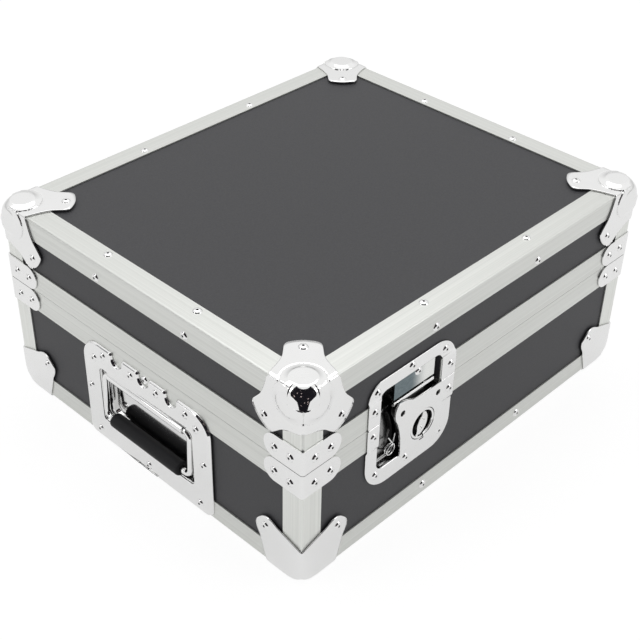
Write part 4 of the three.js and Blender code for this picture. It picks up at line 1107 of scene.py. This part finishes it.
# The spring: 1.75 turns of wire that go inwards as they turn, with a leg at each end.
turns = np.linspace(0.2, 1.95, 90) * 2 * pi
coil = np.stack((
    -20 + 5.6 * np.cos(turns), 1.2 + 4.6 * turns / turns[-1], -29 + 5.6 * np.sin(turns),
), -1)
leg_run = np.linspace(1, 0.05, 14)[:, None]
spring = swept(np.concatenate((
    coil[0] + leg_run * (-7.5, 0, 12.0), coil, coil[-1] + leg_run[::-1] * (3.0, 0, 13.0),
)), 0.65, 12)

# The keeper's profile of (depth, up), from under the rim down to the nose that the hook takes.
keeper_profile = np.array((
    (1.4, 45.5), (1.4, 40), (1.4, 34), (1.4, 26), (1.35, 23.5), (0.9, 22.4), (0.75, 21.2),
    (1.1, 20.0), (2.0, 19.2), (3.2, 19.0), (4.4, 19.0),
))
keeper_columns = np.linspace(29.5, -21.5, 3)

# The dish's rivets, (across, up, depth).
base_ring = [
    (-41.9, -43.4, 0), (-2.7, -47.5, 0), (40.9, -43.4, 0), (49.1, 1.1, -1.5), (-48.1, 4.1, -1.5),
]
lid_ring = [
    (48.3, 28.3, -1.5), (41.3, 47, 0), (-2, 53.3, 0), (-43.9, 48, 0), (-47.5, 30.4, -1.5),
    (8.1, 41.4, 1.4),
]

rows = latch_rows()
for side in ("front", "back"):
    for body, kind, way in (("base", "latch_dish", 1), ("lid", "latch_keeper_dish", -1)):
        height = (LATCH_UP + SPLIT - way * SPLIT_HALF_GAP + SHIFT[2]) / 1000
        # The pan, down in the recess, takes the darker steel: painted shade.
        for part, group, finish in (
            ("dish", rows[:LIP_ROWS + 1], steel), ("pan", rows[LIP_ROWS:], recess_shaded_steel),
        ):
            half_dish = make(
                f"{side}_{body}_{part}", latch_parts(side, [grid(group, around=True)]),
                finish, body, wall=DISH_WALL, cuts=[((0, 0, height), (0, 0, way))],
            )
            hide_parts(f"{side}_{kind}")

    make(f"{side}_cover", latch_parts(side, cover), steel, "base")
    # The works are near black: painted shade behind the cover.
    make(f"{side}_works", latch_parts(side, works), painted_shade_black, "base")

    knob = make(
        f"{side}_knob_cup", latch_parts(side, [grid(knob_cup + KNOB, around=True)]),
        bright_steel, f"{side}_knob", flip=True,
    )
    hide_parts(f"{side}_latch_knob")
    # The well is painted shade: near black inside the knob's cup.
    make(
        f"{side}_knob_well", latch_parts(side, [grid(knob_well + KNOB, around=True)]),
        painted_shade_black, f"{side}_knob", flip=True,
    )

    wing = make(
        f"{side}_wing_plate", [(leaning(side, points), faces) for points, faces in wing_parts],
        bright_steel, f"{side}_wing",
    )
    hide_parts(f"{side}_latch_wing")
    # Painted shade: the notch is a near-black bar.
    make(
        f"{side}_notch", latch_parts(side, [grid(notch, around=True)]),
        painted_shade_black, f"{side}_knob",
    )
    dimples = leaning(side, np.array(((0, -1.3, 4.2), (0, -1.3, -4.2), (0, -2.3, 4.2))))
    rivets(f"{side}_wing_dimples", f"{side}_wing", [
        (dimple, (dimples[2] - dimples[0]) * 1000) for dimple in dimples[:2]
    ], 2.0, 0.45)

    make(
        f"{side}_spring", latch_parts(side, [grid(spring, around=True)]),
        bright_steel, "base",
    )

    for part, profile, finish in (
        ("plate", keeper_profile[:4], keeper_steel), ("nose", keeper_profile[4:], bright_steel),
    ):
        skin = np.stack(np.broadcast_arrays(keeper_columns, profile[:, :1], profile[:, 1:]), -1)
        make(
            f"{side}_keeper_{part}", latch_parts(side, [grid(skin)]),
            finish, "lid", wall=1.2, edge=0.3,
        )
    dress([f"{side}_latch_hook"], bright_steel)

    for body, ring in (("base", base_ring), ("lid", lid_ring)):
        rivets(f"{side}_{body}_dish_rivets", body, [
            face_spot(side, u + LATCH_ALONG, depth, v + LATCH_UP) for u, v, depth in ring
        ])
